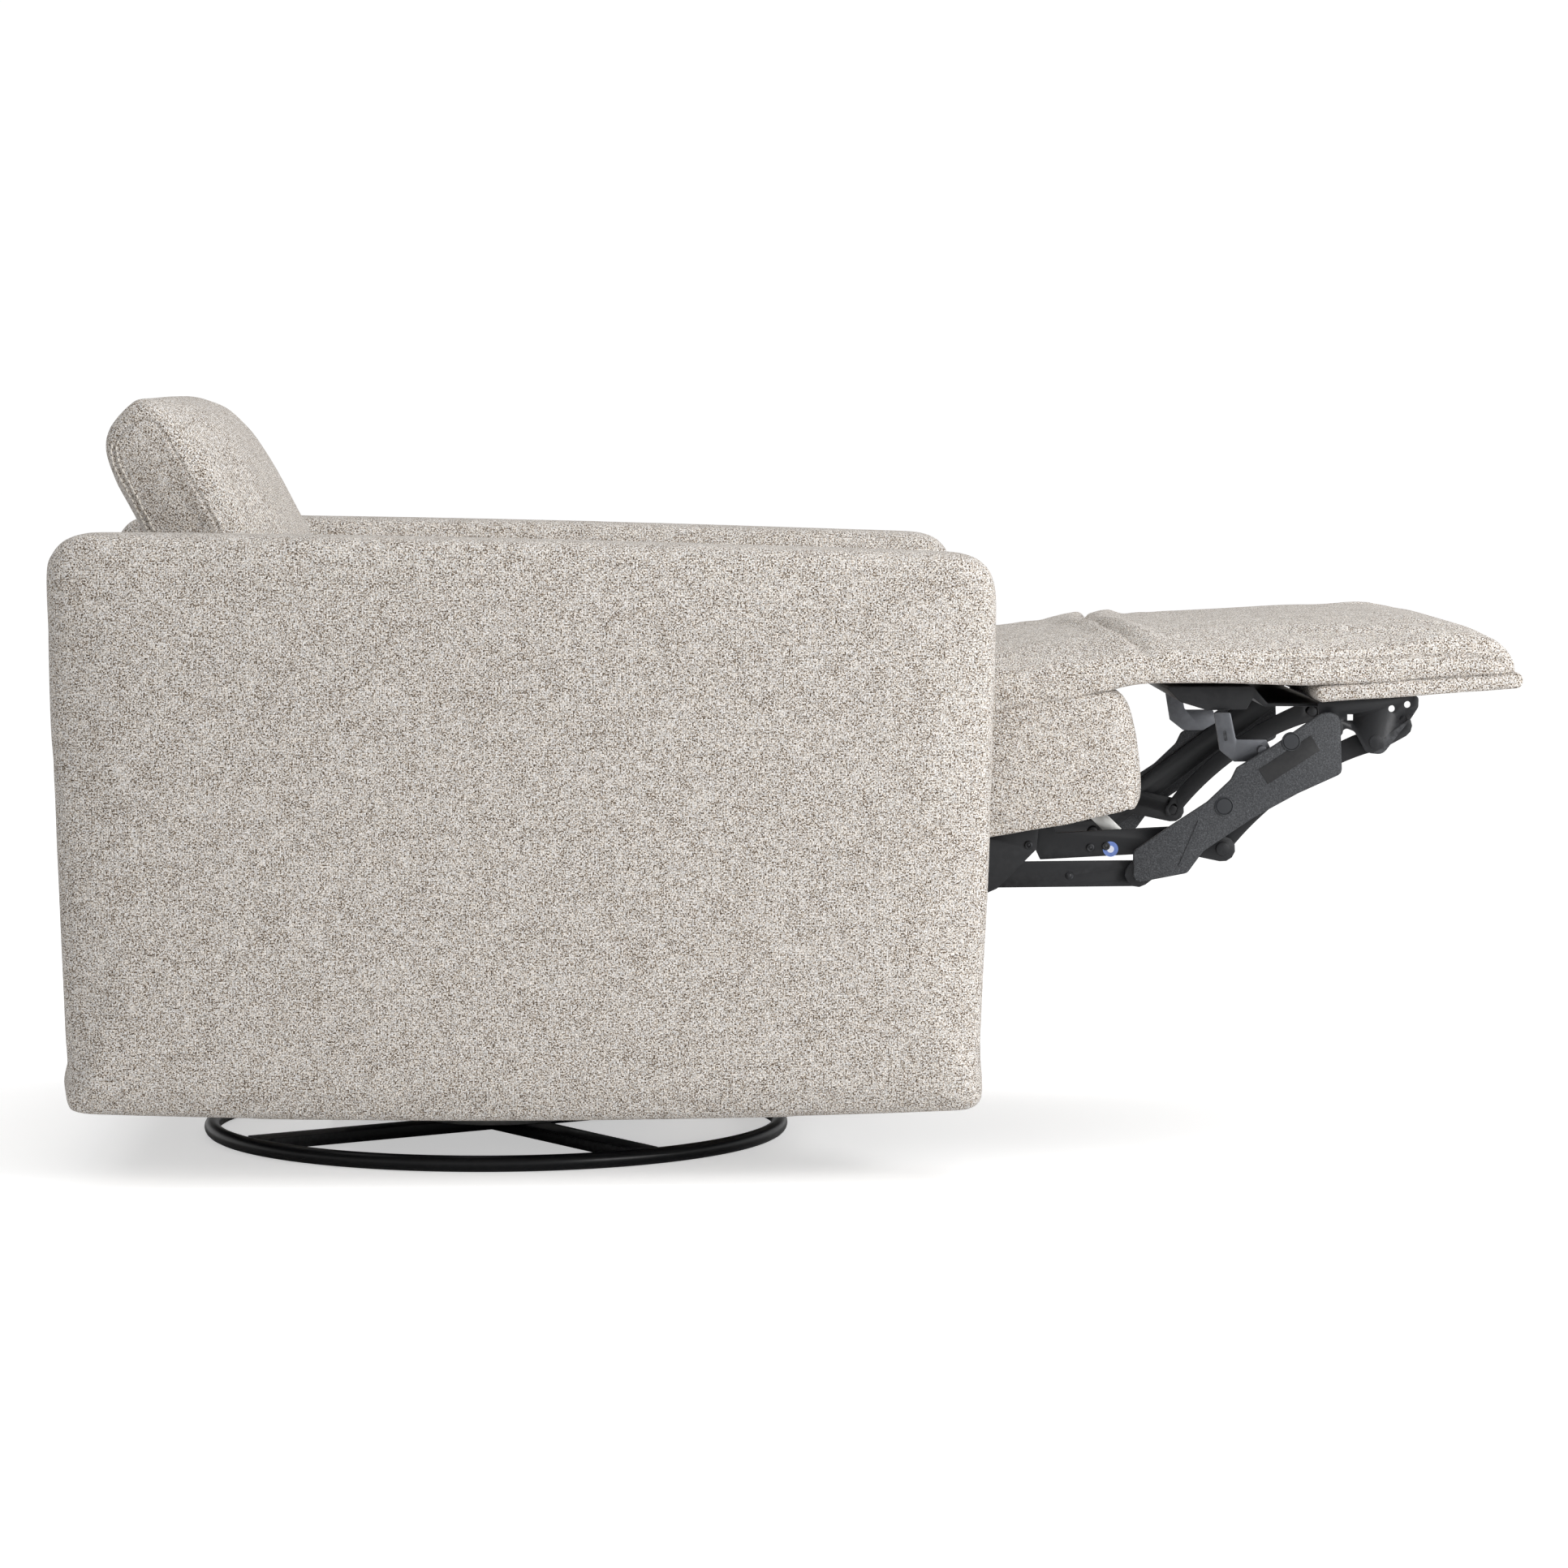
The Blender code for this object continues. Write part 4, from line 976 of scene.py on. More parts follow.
@dataclass
class Arms:
    """The two padded arms, broad flat panels with softly rounded edges."""

    corner: float = 0.036
    front_drop: float = 0.019
    bow: float = 0.008
    taper: float = 0.013
    foot_r: float = 0.016
    edge: float = 0.024
    crown: float = 0.007
    crown_steps: tuple[Pair, ...] = ((0.105, 0.0), (0.060, 0.30))
    arch: float = 0.002
    swell: float = 0.0015
    voxel: float = 0.009
    puff: Puff = Puff(pressure=3.0, cap=0.006, bending=2.0)

    def outline(self, low: Vector, high: Vector, inset: float) -> list[Pair]:
        """Side outline of an arm, drawn in by inset.

        Args:
            low: The arm's lowest corner.
            high: Its highest corner.
            inset: How far inside the full outline to draw.

        Returns:
            Points (x, z) round the outline.
        """
        back, front = low.x + inset, high.x - inset
        floor, top = low.z + inset, high.z - inset
        r, foot = self.corner, self.foot_r
        points: list[Pair] = []
        for i in range(13):
            t = i / 12
            x = back + self.taper + foot + (front - back - 2 * self.taper - 2 * foot) * t
            points.append((x, floor + self.bow * (2 * t - 1) ** 2))
        points += quarter((front - self.taper - foot, floor + self.bow + foot), foot, -90, 6)
        upright = top - self.front_drop - r - floor - self.bow - foot
        for i in range(9):
            t = i / 8
            lean = self.taper * (1 - math.sin(t * math.pi / 2))
            points.append((front - lean, floor + self.bow + foot + upright * t))
        points += quarter((front - r, top - self.front_drop - r), r, 0, 8)
        for i in range(13):
            t = i / 12
            x = front - r - (front - back - 2 * r) * t
            points.append((x, top - self.front_drop * (1 - t) ** 1.3 + self.arch * (1 - (2 * t - 1) ** 2)))
        points += quarter((back + r, top - r), r, 90, 8)
        for i in range(9):
            t = 1 - i / 8
            lean = self.taper * (1 - math.sin(t * math.pi / 2))
            points.append((back + lean, floor + self.bow + foot + (top - r - floor - self.bow - foot) * t))
        return points + quarter((back + self.taper + foot, floor + self.bow + foot), foot, 180, 6)

    def build(self) -> None:
        """Model the right arm, mirror it for the left, and fix both to the chassis."""
        low, high = box_of("arm_right")
        half = (high.y - low.y) / 2
        middle = (high.y + low.y) / 2
        flat = half - self.crown
        profile = [(inset, half - self.crown * share) for inset, share in self.crown_steps]
        for i in range(6):
            a = math.radians(18 * i)
            profile.append((self.edge * (1 - math.sin(a)), flat - self.edge * (1 - math.cos(a))))
        stations = [(-offset, inset) for inset, offset in profile]
        stations += [(offset, inset) for inset, offset in profile[::-1]]
        rings = [[(x, middle + offset, z) for x, z in self.outline(low, high, inset)] for offset, inset in stations]
        arm = loft("arm_upholstery_right", rings, TWEED)
        remesh(arm, self.voxel)
        places = points_of(arm.data)
        held = np.clip((low.z + 0.03 - places[:, 2]) / 0.02, 0, 1)
        self.puff.run(arm, held)
        fit(arm, low - Vector((self.swell, 0.0, 0.0)), high + Vector((self.swell, 0.0, 0.001)))
        refine(arm)
        twin = arm.data.copy()
        twin.transform(Matrix.Scale(-1, 4, (0, 1, 0)))
        twin.flip_normals()
        for side, mesh in ((Side.RIGHT, arm.data), (Side.LEFT, twin)):
            lay_cloth_map(mesh)
            piece = arm
            if side is Side.LEFT:
                piece = bpy.data.objects.new("arm_upholstery_left", mesh)
                bpy.context.scene.collection.objects.link(piece)
            mount(piece, "chassis", TWEED, [f"arm_{side.word}"])


@dataclass
class Section:
    """Cross-section of a pad at one station, in the pad's own frame."""

    at: float
    under: float
    seam: float
    crest: float
    half: float
    tuck: float = 0.007

    def ring(self, place: Callable[[float, float, float], Point], power: float, count: int = 16) -> list[Point]:
        """Points round the section: flat underside, upright sides to the seam, then the crown.

        Args:
            place: Maps (station, across, out) to a point in space.
            power: Fullness of the crown towards its sides.
            count: Points across the crown.

        Returns:
            The ring.
        """
        floor = self.half - self.tuck
        ring = [place(self.at, -floor + 2 * floor * i / 7, self.under) for i in range(8)]
        ring.append(place(self.at, self.half, (self.under + self.seam) / 2))
        for i in range(count + 1):
            a = math.pi * i / count
            across = math.copysign(abs(math.cos(a)) ** (2 / power), math.cos(a)) * self.half
            out = self.seam + (self.crest - self.seam) * abs(math.sin(a)) ** (2 / power)
            ring.append(place(self.at, across, out))
        ring.append(place(self.at, -self.half, (self.under + self.seam) / 2))
        return ring


@dataclass
class ChaisePad:
    """The long pad from the back of the seat to the toe of the footrest, with the soft crease over the fold."""

    half: float = 0.2652
    voxel: float = 0.0075
    shrink: float = 0.003
    power: float = 2.4
    toe: float = 2.6
    crease_depth: float = 0.0080
    fold_from: float = 0.305
    fold_to: float = 0.435
    toe_from: float = 0.560
    toe_run: float = 0.090
    toe_reach: float = 0.003
    seam_share: float = 0.46
    seam_from: float = 0.455
    fold_height: float = 0.462
    crease_at: float = 0.306
    crease_bow: float = 0.034
    crease_width: float = 0.0052
    roll_height: float = 0.0046
    under: tuple[Pair, ...] = (
        (-0.299, 0.3440), (-0.20, 0.3580), (0.0, 0.3970), (0.20, 0.4360), (0.290, 0.4530), (0.340, 0.4640),
        (0.400, 0.4640), (0.500, 0.4610), (0.600, 0.4660), (0.6945, 0.4725),
    )
    crest: tuple[Pair, ...] = (
        (-0.299, 0.3700), (-0.290, 0.4040), (-0.265, 0.4220), (-0.20, 0.4400), (-0.06, 0.4700), (0.08, 0.4950),
        (0.20, 0.5030), (0.25, 0.5085), (0.29, 0.5130), (0.345, 0.5160), (0.44, 0.5210), (0.54, 0.5258),
        (0.60, 0.5255), (0.63, 0.5220), (0.660, 0.5160), (0.680, 0.5080), (0.690, 0.4985), (0.6945, 0.4880),
    )
    puff: Puff = Puff(pressure=4.0, cap=0.0055, bending=0.6)

    def seam_height(self, x: float) -> float:
        """Height of the side seam at a station."""
        under = float(smooth_curve(self.under, np.array([x]))[0])
        crest = float(smooth_curve(self.crest, np.array([x]))[0])
        return under + (crest - under) * self.seam_share

    def build(self) -> None:
        """Model the pad, which runs between seat and footrest, and crease it."""
        front, rear = box_of("footrest_cushion")[1].x, box_of("seat_cushion")[0].x
        spots = np.concatenate([
            rear + 0.03 * (1 - np.cos(np.linspace(0, math.pi / 2, 7))),
            np.linspace(rear + 0.05, front - 0.06, 44),
            front - 0.04 * (1 - np.sin(np.linspace(0, math.pi / 2, 9))),
        ])
        spots = np.unique(np.clip(spots, self.under[0][0], self.under[-1][0]))
        under = smooth_curve(self.under, spots)
        crest = smooth_curve(self.crest, spots)
        rings = []
        for x, low, high in zip(spots, under, crest):
            nose = 0.004 + math.sqrt(max(0.0, min(1.0, (front - x) / 0.014))) * 0.008
            tail = math.sqrt(max(0.0, min(1.0, (x - rear) / 0.03))) * 0.014
            half = self.half - self.shrink - 0.026 + nose + tail
            section = Section(x, low, low + (high - low) * self.seam_share, high - self.shrink, half)
            square = self.power + self.toe * max(0.0, min(1.0, (x - self.toe_from) / self.toe_run))
            rings.append(section.ring(lambda at, across, out: (at, across, out), square))
        pad = loft("chaise_pad", rings, TWEED)
        remesh(pad, self.voxel, 3)
        places = points_of(pad.data)
        base = smooth_curve(self.under, np.clip(places[:, 0], rear, front))
        held = np.clip(1 - (places[:, 2] - base - 0.004) / 0.006, 0, 1)
        self.puff.run(pad, held)
        places = points_of(pad.data)
        toe = front + self.toe_reach
        fit(pad, Vector((rear, -self.half, places[:, 2].min())), Vector((toe, self.half, places[:, 2].max())))
        move_points(pad.data, hold_crest(
            points_of(pad.data), lambda p: p[:, 0], lambda p: p[:, 2], Vector((0, 0, 1)), self.crest, self.under,
        ))
        refine(pad)
        self.crease(pad)
        seam_run = np.linspace(self.seam_from, front - 0.012, 40)
        for side in Side:
            path = [(x, side.value * self.half, self.seam_height(x) - 0.002) for x in seam_run]
            groove(pad, onto(pad, path), 0.0016, 0.0028)
        lay_cloth_map(pad.data)
        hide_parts("seat_cushion", "footrest_cushion")
        start, end = (self.fold_from, 0, self.fold_height), (self.fold_to, 0, self.fold_height)
        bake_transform(pad)
        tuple(start)
        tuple(end)
        LOG.info("%s bends between seat and footrest", pad.name)

    def crease(self, pad: bpy.types.Object) -> None:
        """Press the crease where the seat's cover meets the leg pad's, with a soft roll on each side of it."""
        places = points_of(pad.data)
        across = np.abs(places[:, 1]) / self.half
        valley = self.crease_at + self.crease_bow * across**2.2 + 0.0022 * np.sin(places[:, 1] * 46.0)
        away = places[:, 0] - valley
        level = smooth_curve(self.under, np.clip(places[:, 0], self.under[0][0], self.under[-1][0]))
        above = np.clip((places[:, 2] - level - 0.016) / 0.03, 0, 1)
        dip = self.crease_depth * np.exp(-((away / self.crease_width) ** 2))
        rolls = ((-0.015, 0.012), (0.017, 0.013))
        roll = sum(self.roll_height * np.exp(-(((away - at) / wide) ** 2)) for at, wide in rolls)
        ripple = 0.0011 * np.sin(away * 210 + places[:, 1] * 17) * np.exp(-((away / 0.05) ** 2))
        move = (roll - dip + ripple) * above
        move_points(pad.data, places + normals_of(pad.data) * move[:, None])


@dataclass
class BackRest:
    """Reclining back: the stuffed pad with boxed sides, its outside panel and its seams."""

    hinge: Pair = (-0.400, 0.300)
    lean: float = math.radians(26.0)
    half: float = 0.2570
    shoulder: float = 0.034
    arch: tuple[Pair, ...] = (
        (0.4540, 0.0020), (0.4640, -0.0020), (0.4695, -0.0080), (0.4720, -0.0190), (0.4710, -0.0300), (0.4660, -0.0420),
        (0.4560, -0.0515),
    )
    voxel: float = 0.0075
    shrink: float = 0.003
    power: float = 2.7
    rear: tuple[Pair, ...] = (
        (0.012, -0.0200), (0.030, -0.0480), (0.060, -0.0585), (0.30, -0.0610), (0.40, -0.0630), (0.430, -0.0635),
        (0.4542, -0.0595), (0.4710, -0.0505), (0.4822, -0.0360), (0.4880, -0.0200), (0.4905, -0.0070),
    )
    crest: tuple[Pair, ...] = (
        (0.012, 0.0250), (0.030, 0.0700), (0.060, 0.0840), (0.120, 0.0880), (0.220, 0.0750), (0.310, 0.0620),
        (0.372, 0.0600), (0.4183, 0.0550), (0.4500, 0.0435), (0.4712, 0.0275), (0.4850, 0.0095), (0.4905, -0.0060),
    )
    seam: tuple[Pair, ...] = (
        (0.012, 0.0030), (0.060, 0.0080), (0.34, 0.0078), (0.404, 0.0045), (0.454, 0.0010), (0.4905, -0.0065),
    )
    puff: Puff = Puff(pressure=4.0, cap=0.0038, bending=0.6)
    panel_span: Pair = (0.050, 0.400)
    panel_half: float = 0.236
    panel_crown: float = 0.0045
    panel_wall: float = 0.004
    stitch_rows: tuple[tuple[str, float], ...] = (("inner", 0.0040), ("outer", -0.0036))

    def place(self, up: float, across: float, forward: float) -> Point:
        """Map the back's own frame to space."""
        c, s = math.cos(self.lean), math.sin(self.lean)
        return (self.hinge[0] + forward * c - up * s, across, self.hinge[1] + forward * s + up * c)

    def build(self, trees: Trees) -> None:
        """Model the pad, sew it and add the outside panel."""
        top = self.rear[-1][0]
        spots = np.unique(np.concatenate([
            self.rear[0][0] + 0.03 * (1 - np.cos(np.linspace(0, math.pi / 2, 6))),
            np.linspace(0.05, top - 0.05, 26),
            top - 0.05 * (1 - np.sin(np.linspace(0, math.pi / 2, 12))),
        ]))
        rear, crest, seam = (smooth_curve(k, spots) for k in (self.rear, self.crest, self.seam))
        rings = []
        for up, back, front, line in zip(spots, rear, crest, seam):
            rise = max(0.0, min(1.0, (top - up) / self.shoulder))
            tuck = 1 - self.shoulder / self.half * (1 - math.sqrt(1 - (1 - rise) ** 2))
            half = (self.half - self.shrink) * tuck
            section = Section(up, back + self.shrink, line, max(front - self.shrink, line + 0.001), half)
            rings.append(section.ring(self.place, self.power))
        pad = loft("back_pad", rings, TWEED)
        remesh(pad, self.voxel, 3)
        places = points_of(pad.data)
        held = np.zeros(len(places))
        for path in self.seam_paths():
            away = distance_to(places, resample(path, 0.004))
            held = np.maximum(held, np.clip(1.4 - away / 0.006, 0, 1))
        self.puff.run(pad, held)
        self.reshape(pad)
        refine(pad)
        lines = [onto(pad, path) for path in self.seam_paths()]
        for path in lines:
            groove(pad, path, 0.0013, 0.0023)
        lay_cloth_map(pad.data, self.lean)
        mount(pad, "back", TWEED, ["back_cushion"])
        self.sew(pad, lines, trees)
        self.outside()

    def reshape(self, pad: bpy.types.Object) -> None:
        """Bring the blown-up pad back to its profiles and its width."""
        c, s = math.cos(self.lean), math.sin(self.lean)
        origin = np.array((self.hinge[0], 0.0, self.hinge[1]))
        up, ahead = Vector((-s, 0, c)), Vector((c, 0, s))
        places = points_of(pad.data)
        widest = np.abs(places[:, 1]).max()
        places[:, 1] *= self.half / widest
        height = (places - origin) @ np.array(up)
        top = self.rear[-1][0]
        stretch = np.clip(height / height.max(), 0, 1) ** 3 * (top - 0.0015 - height.max())
        places += np.array(up) * stretch[:, None]
        rear = [(u, -f) for u, f in self.rear]
        front = self.crest
        middle = [(u, 0.0) for u, _ in self.rear]
        for knots, sense in ((front, 1.0), (rear, -1.0)):
            places = hold_crest(
                places, lambda p: (p - origin) @ np.array(up), lambda p: sense * ((p - origin) @ np.array(ahead)),
                ahead * sense, knots, middle, 0.015,
            )
        move_points(pad.data, places)

    def seam_paths(self) -> list[list[Point]]:
        """One seam on each side, round the boxing: up its front edge, over and down its rear edge."""
        heights = np.linspace(0.05, 0.440, 50)
        front = [(u, f) for u, f in zip(heights, smooth_curve(self.seam, heights))]
        rear = [(u, f + 0.0045) for u, f in zip(heights, smooth_curve(self.rear, heights))]
        loop = resample([(u, 0.0, f) for u, f in front + list(self.arch) + rear[::-1]], 0.006)
        return [[self.place(u, side.value * self.half, f) for u, _, f in loop] for side in Side]

    def sew(self, pad: bpy.types.Object, lines: list[list[Point]], trees: Trees) -> None:
        """Add the twin rows of stitches beside the rear seams."""
        for side, path in zip(Side, lines):
            rear = path[len(path) // 2 + 4:]
            for row, offset in self.stitch_rows:
                shifted = [(x + offset * 0.9, y, z + offset * 0.44) for x, y, z in rear]
                base = line_mesh("row", onto(pad, shifted, 0.0002))
                name = f"back_stitches_{side.word}_{row}"
                piece = trees.stitches.make(name, base, THREAD, Pitch=0.0056, Length=0.0046, Radius=0.0009)
                mount(piece, "back", THREAD)

    def shell(self, up: float, across: float) -> float:
        """How far forward the pad's rounded rear face lies at a height and a distance across."""
        back = float(smooth_curve(self.rear, np.array([up]))[0])
        line = float(smooth_curve(self.seam, np.array([up]))[0])
        bend = (1 - min(1.0, abs(across) / self.half) ** self.power) ** (1 / self.power)
        return line + (back - line) * bend

    def outside(self) -> None:
        """Model the thin crowned panel that closes the back of the pad."""
        columns, rows = 34, 18
        low, high = self.panel_span
        bm = bmesh.new()
        grid = []
        for j in range(rows + 1):
            v = j / rows
            line = []
            for i in range(columns + 1):
                u = i / columns
                rise = self.panel_crown * ((1 - abs(2 * u - 1) ** 4) * (1 - abs(2 * v - 1) ** 4)) ** 0.5
                up, across = low + (high - low) * v, self.panel_half * (2 * u - 1)
                line.append(bm.verts.new(self.place(up, across, self.shell(up, across) - rise)))
            grid.append(line)
        for j in range(rows):
            for i in range(columns):
                bm.faces.new((grid[j][i], grid[j][i + 1], grid[j + 1][i + 1], grid[j + 1][i]))
        panel = add_mesh("back_outside_panel", bm, TWEED)
        thicken(panel, self.panel_wall)
        refine(panel)
        lay_cloth_map(panel.data, self.lean)
        mount(panel, "back", TWEED, ["back_cover"])


@dataclass
class SeatBox:
    """Upholstered border round the seat frame, with a soft front and a raw lower edge."""

    tilt: float = math.radians(11.0)
    corner: Pair = (0.3295, 0.343)
    length: float = 0.600
    height: float = 0.1172
    half: float = 0.2635
    bulge: tuple[Pair, ...] = (
        (0.0, -0.0085), (0.0050, -0.0030), (0.0407, 0.0043), (0.070, 0.0062), (0.0965, 0.0053), (0.110, 0.0005),
        (0.1188, -0.0060), (0.1206, -0.0120),
    )
    round_r: float = 0.020
    thickness: float = 0.0045
    front: float = 0.009
    lip: float = 0.018
    front_lip: float = 0.016
    rise: float = 0.035
    rise_run: float = 0.12

    def place(self, along: float, across: float, up: float) -> Point:
        """Map the seat's own frame to space."""
        c, s = math.cos(self.tilt), math.sin(self.tilt)
        return (self.corner[0] + along * c - up * s, across, self.corner[1] + along * s + up * c)

    def rim(self, along: float) -> float:
        """Height of the box, which grows a little behind its front."""
        return self.height + self.rise * min(self.rise_run, max(0.0, -along))

    def route(self) -> list[tuple[float, float, Pair]]:
        """Points round the plan of the box from rear right to rear left, each with its outward direction."""
        stops: list[tuple[float, float, Pair]] = []
        front, r = self.front, self.round_r
        for x in np.linspace(-self.length, front - r, 30):
            stops.append((float(x), -self.half, (0.0, -1.0)))
        for i in range(1, 9):
            a = math.radians(-90 + 90 * i / 8)
            stops.append((front - r + r * math.cos(a), -self.half + r + r * math.sin(a), (math.cos(a), math.sin(a))))
        for y in np.linspace(-self.half + r, self.half - r, 36)[1:]:
            stops.append((front, float(y), (1.0, 0.0)))
        for i in range(1, 9):
            a = math.radians(90 * i / 8)
            stops.append((front - r + r * math.cos(a), self.half - r + r * math.sin(a), (math.cos(a), math.sin(a))))
        for x in np.linspace(front - r, -self.length, 30)[1:]:
            stops.append((float(x), self.half, (0.0, 1.0)))
        return stops

    def build(self) -> None:
        """Sweep the cloth's profile round the box."""
        stops = self.route()
        rows = 16
        bm = bmesh.new()
        grid = []
        for number, (along, across, out) in enumerate(stops):
            line = []
            frontness = max(0.0, out[0])
            wave = 0.0011 * math.sin(number * 0.9) + 0.0007 * math.sin(number * 2.3 + 1.0)
            for j in range(rows + 1):
                t = j / rows
                belly = math.sin(math.pi * t) ** 0.8
                push = frontness * float(smooth_curve(self.bulge, np.array([self.height * t]))[0])
                push += (1 - frontness) * 0.0012 * belly
                up = self.rim(along) * t + (wave if j == 0 else 0.0)
                line.append(bm.verts.new(self.place(along + out[0] * push, across + out[1] * push, up)))
            lip = (along - out[0] * self.lip, across - out[1] * self.lip)
            line.append(bm.verts.new(self.place(lip[0] - frontness * self.front_lip, lip[1], self.rim(along))))
            grid.append(line)
        for near, far in zip(grid, grid[1:]):
            for j in range(rows + 1):
                bm.faces.new((near[j], far[j], far[j + 1], near[j + 1]))
        cover = add_mesh("seat_box_cover", bm, TWEED)
        thicken(cover, self.thickness)
        refine(cover)
        lay_cloth_map(cover.data, self.tilt)
        mount(cover, "seat", TWEED, ["seat_border"])


@dataclass
class Footboard:
    """Cloth-wrapped board under the toe of the footrest."""

    voxel: float = 0.0045
    swell: float = 0.0007
    lumps: float = 0.0004
    reach: float = 0.0070

    def build(self) -> None:
        """Round the board's edges, wrap it and let the cloth swell a little."""
        board = copy_node("footrest_board", "footboard_cover", TWEED)
        remesh(board, self.voxel, 2)
        places = points_of(board.data)
        normals = normals_of(board.data)
        lump = np.sin(places[:, 0] * 61 + places[:, 1] * 23) * np.sin(places[:, 1] * 37 - places[:, 0] * 19)
        move_points(board.data, places + normals * (self.swell + self.lumps * lump)[:, None])
        low, high = box_of("footrest_board")
        fit(board, low, high + Vector((self.reach, 0, 0.001)))
        refine(board)
        lay_cloth_map(board.data)
        mount(board, "footrest", TWEED, ["footrest_board"])


def copy_node(node: str, name: str, finish: Finish) -> bpy.types.Object:
    """Return a merged copy of a model node's mesh as a new piece.

    Args:
        node: The node.
        name: The piece's name.
        finish: Its finish.

    Returns:
        The piece, at the origin.
    """
    bm = bmesh.new()
    bm.from_mesh(bpy.data.objects[node].data)
    bmesh.ops.remove_doubles(bm, verts=bm.verts, dist=2e-6)
    bmesh.ops.dissolve_limit(bm, angle_limit=math.radians(1.0), verts=bm.verts, edges=bm.edges)
    return add_mesh(name, bm, finish)


def dress_plate(node: str, body: str, finish: Finish, bevel: float = 0.0006) -> bpy.types.Object:
    """Replace a metal or plastic node by a copy with rounded edges.

    Args:
        node: The node.
        body: The body that it rides on.
        finish: Its finish.
        bevel: Width of the rounding.

    Returns:
        The piece.
    """
    piece = copy_node(node, f"{node}_finished", finish)
    edge = piece.modifiers.new("edges", "BEVEL")
    edge.width = bevel
    edge.segments = 2
    edge.limit_method = "ANGLE"
    edge.angle_limit = math.radians(40)
    edge.harden_normals = False
    settle(piece)
    soften_edges(piece, 40)
    return mount(piece, body, finish, [node])


def circle(centre: Pair, radius: float, count: int, shift: float = 0.0) -> list[Pair]:
    """Points round a circle.

    Args:
        centre: Its centre.
        radius: Its radius.
        count: Number of points.
        shift: Share of a step by which the first point is turned on.

    Returns:
        The points.
    """
    angles = [math.tau * (i + shift) / count for i in range(count)]
    return [(centre[0] + radius * math.cos(a), centre[1] + radius * math.sin(a)) for a in angles]


@dataclass(frozen=True)
class Heads:
    """A group of rivet heads on one plate: how far out they lie, their centres (x, z) and their sizes."""

    level: float
    spots: tuple[Pair, ...]
    radius: float = 0.0042
    height: float = 0.0016


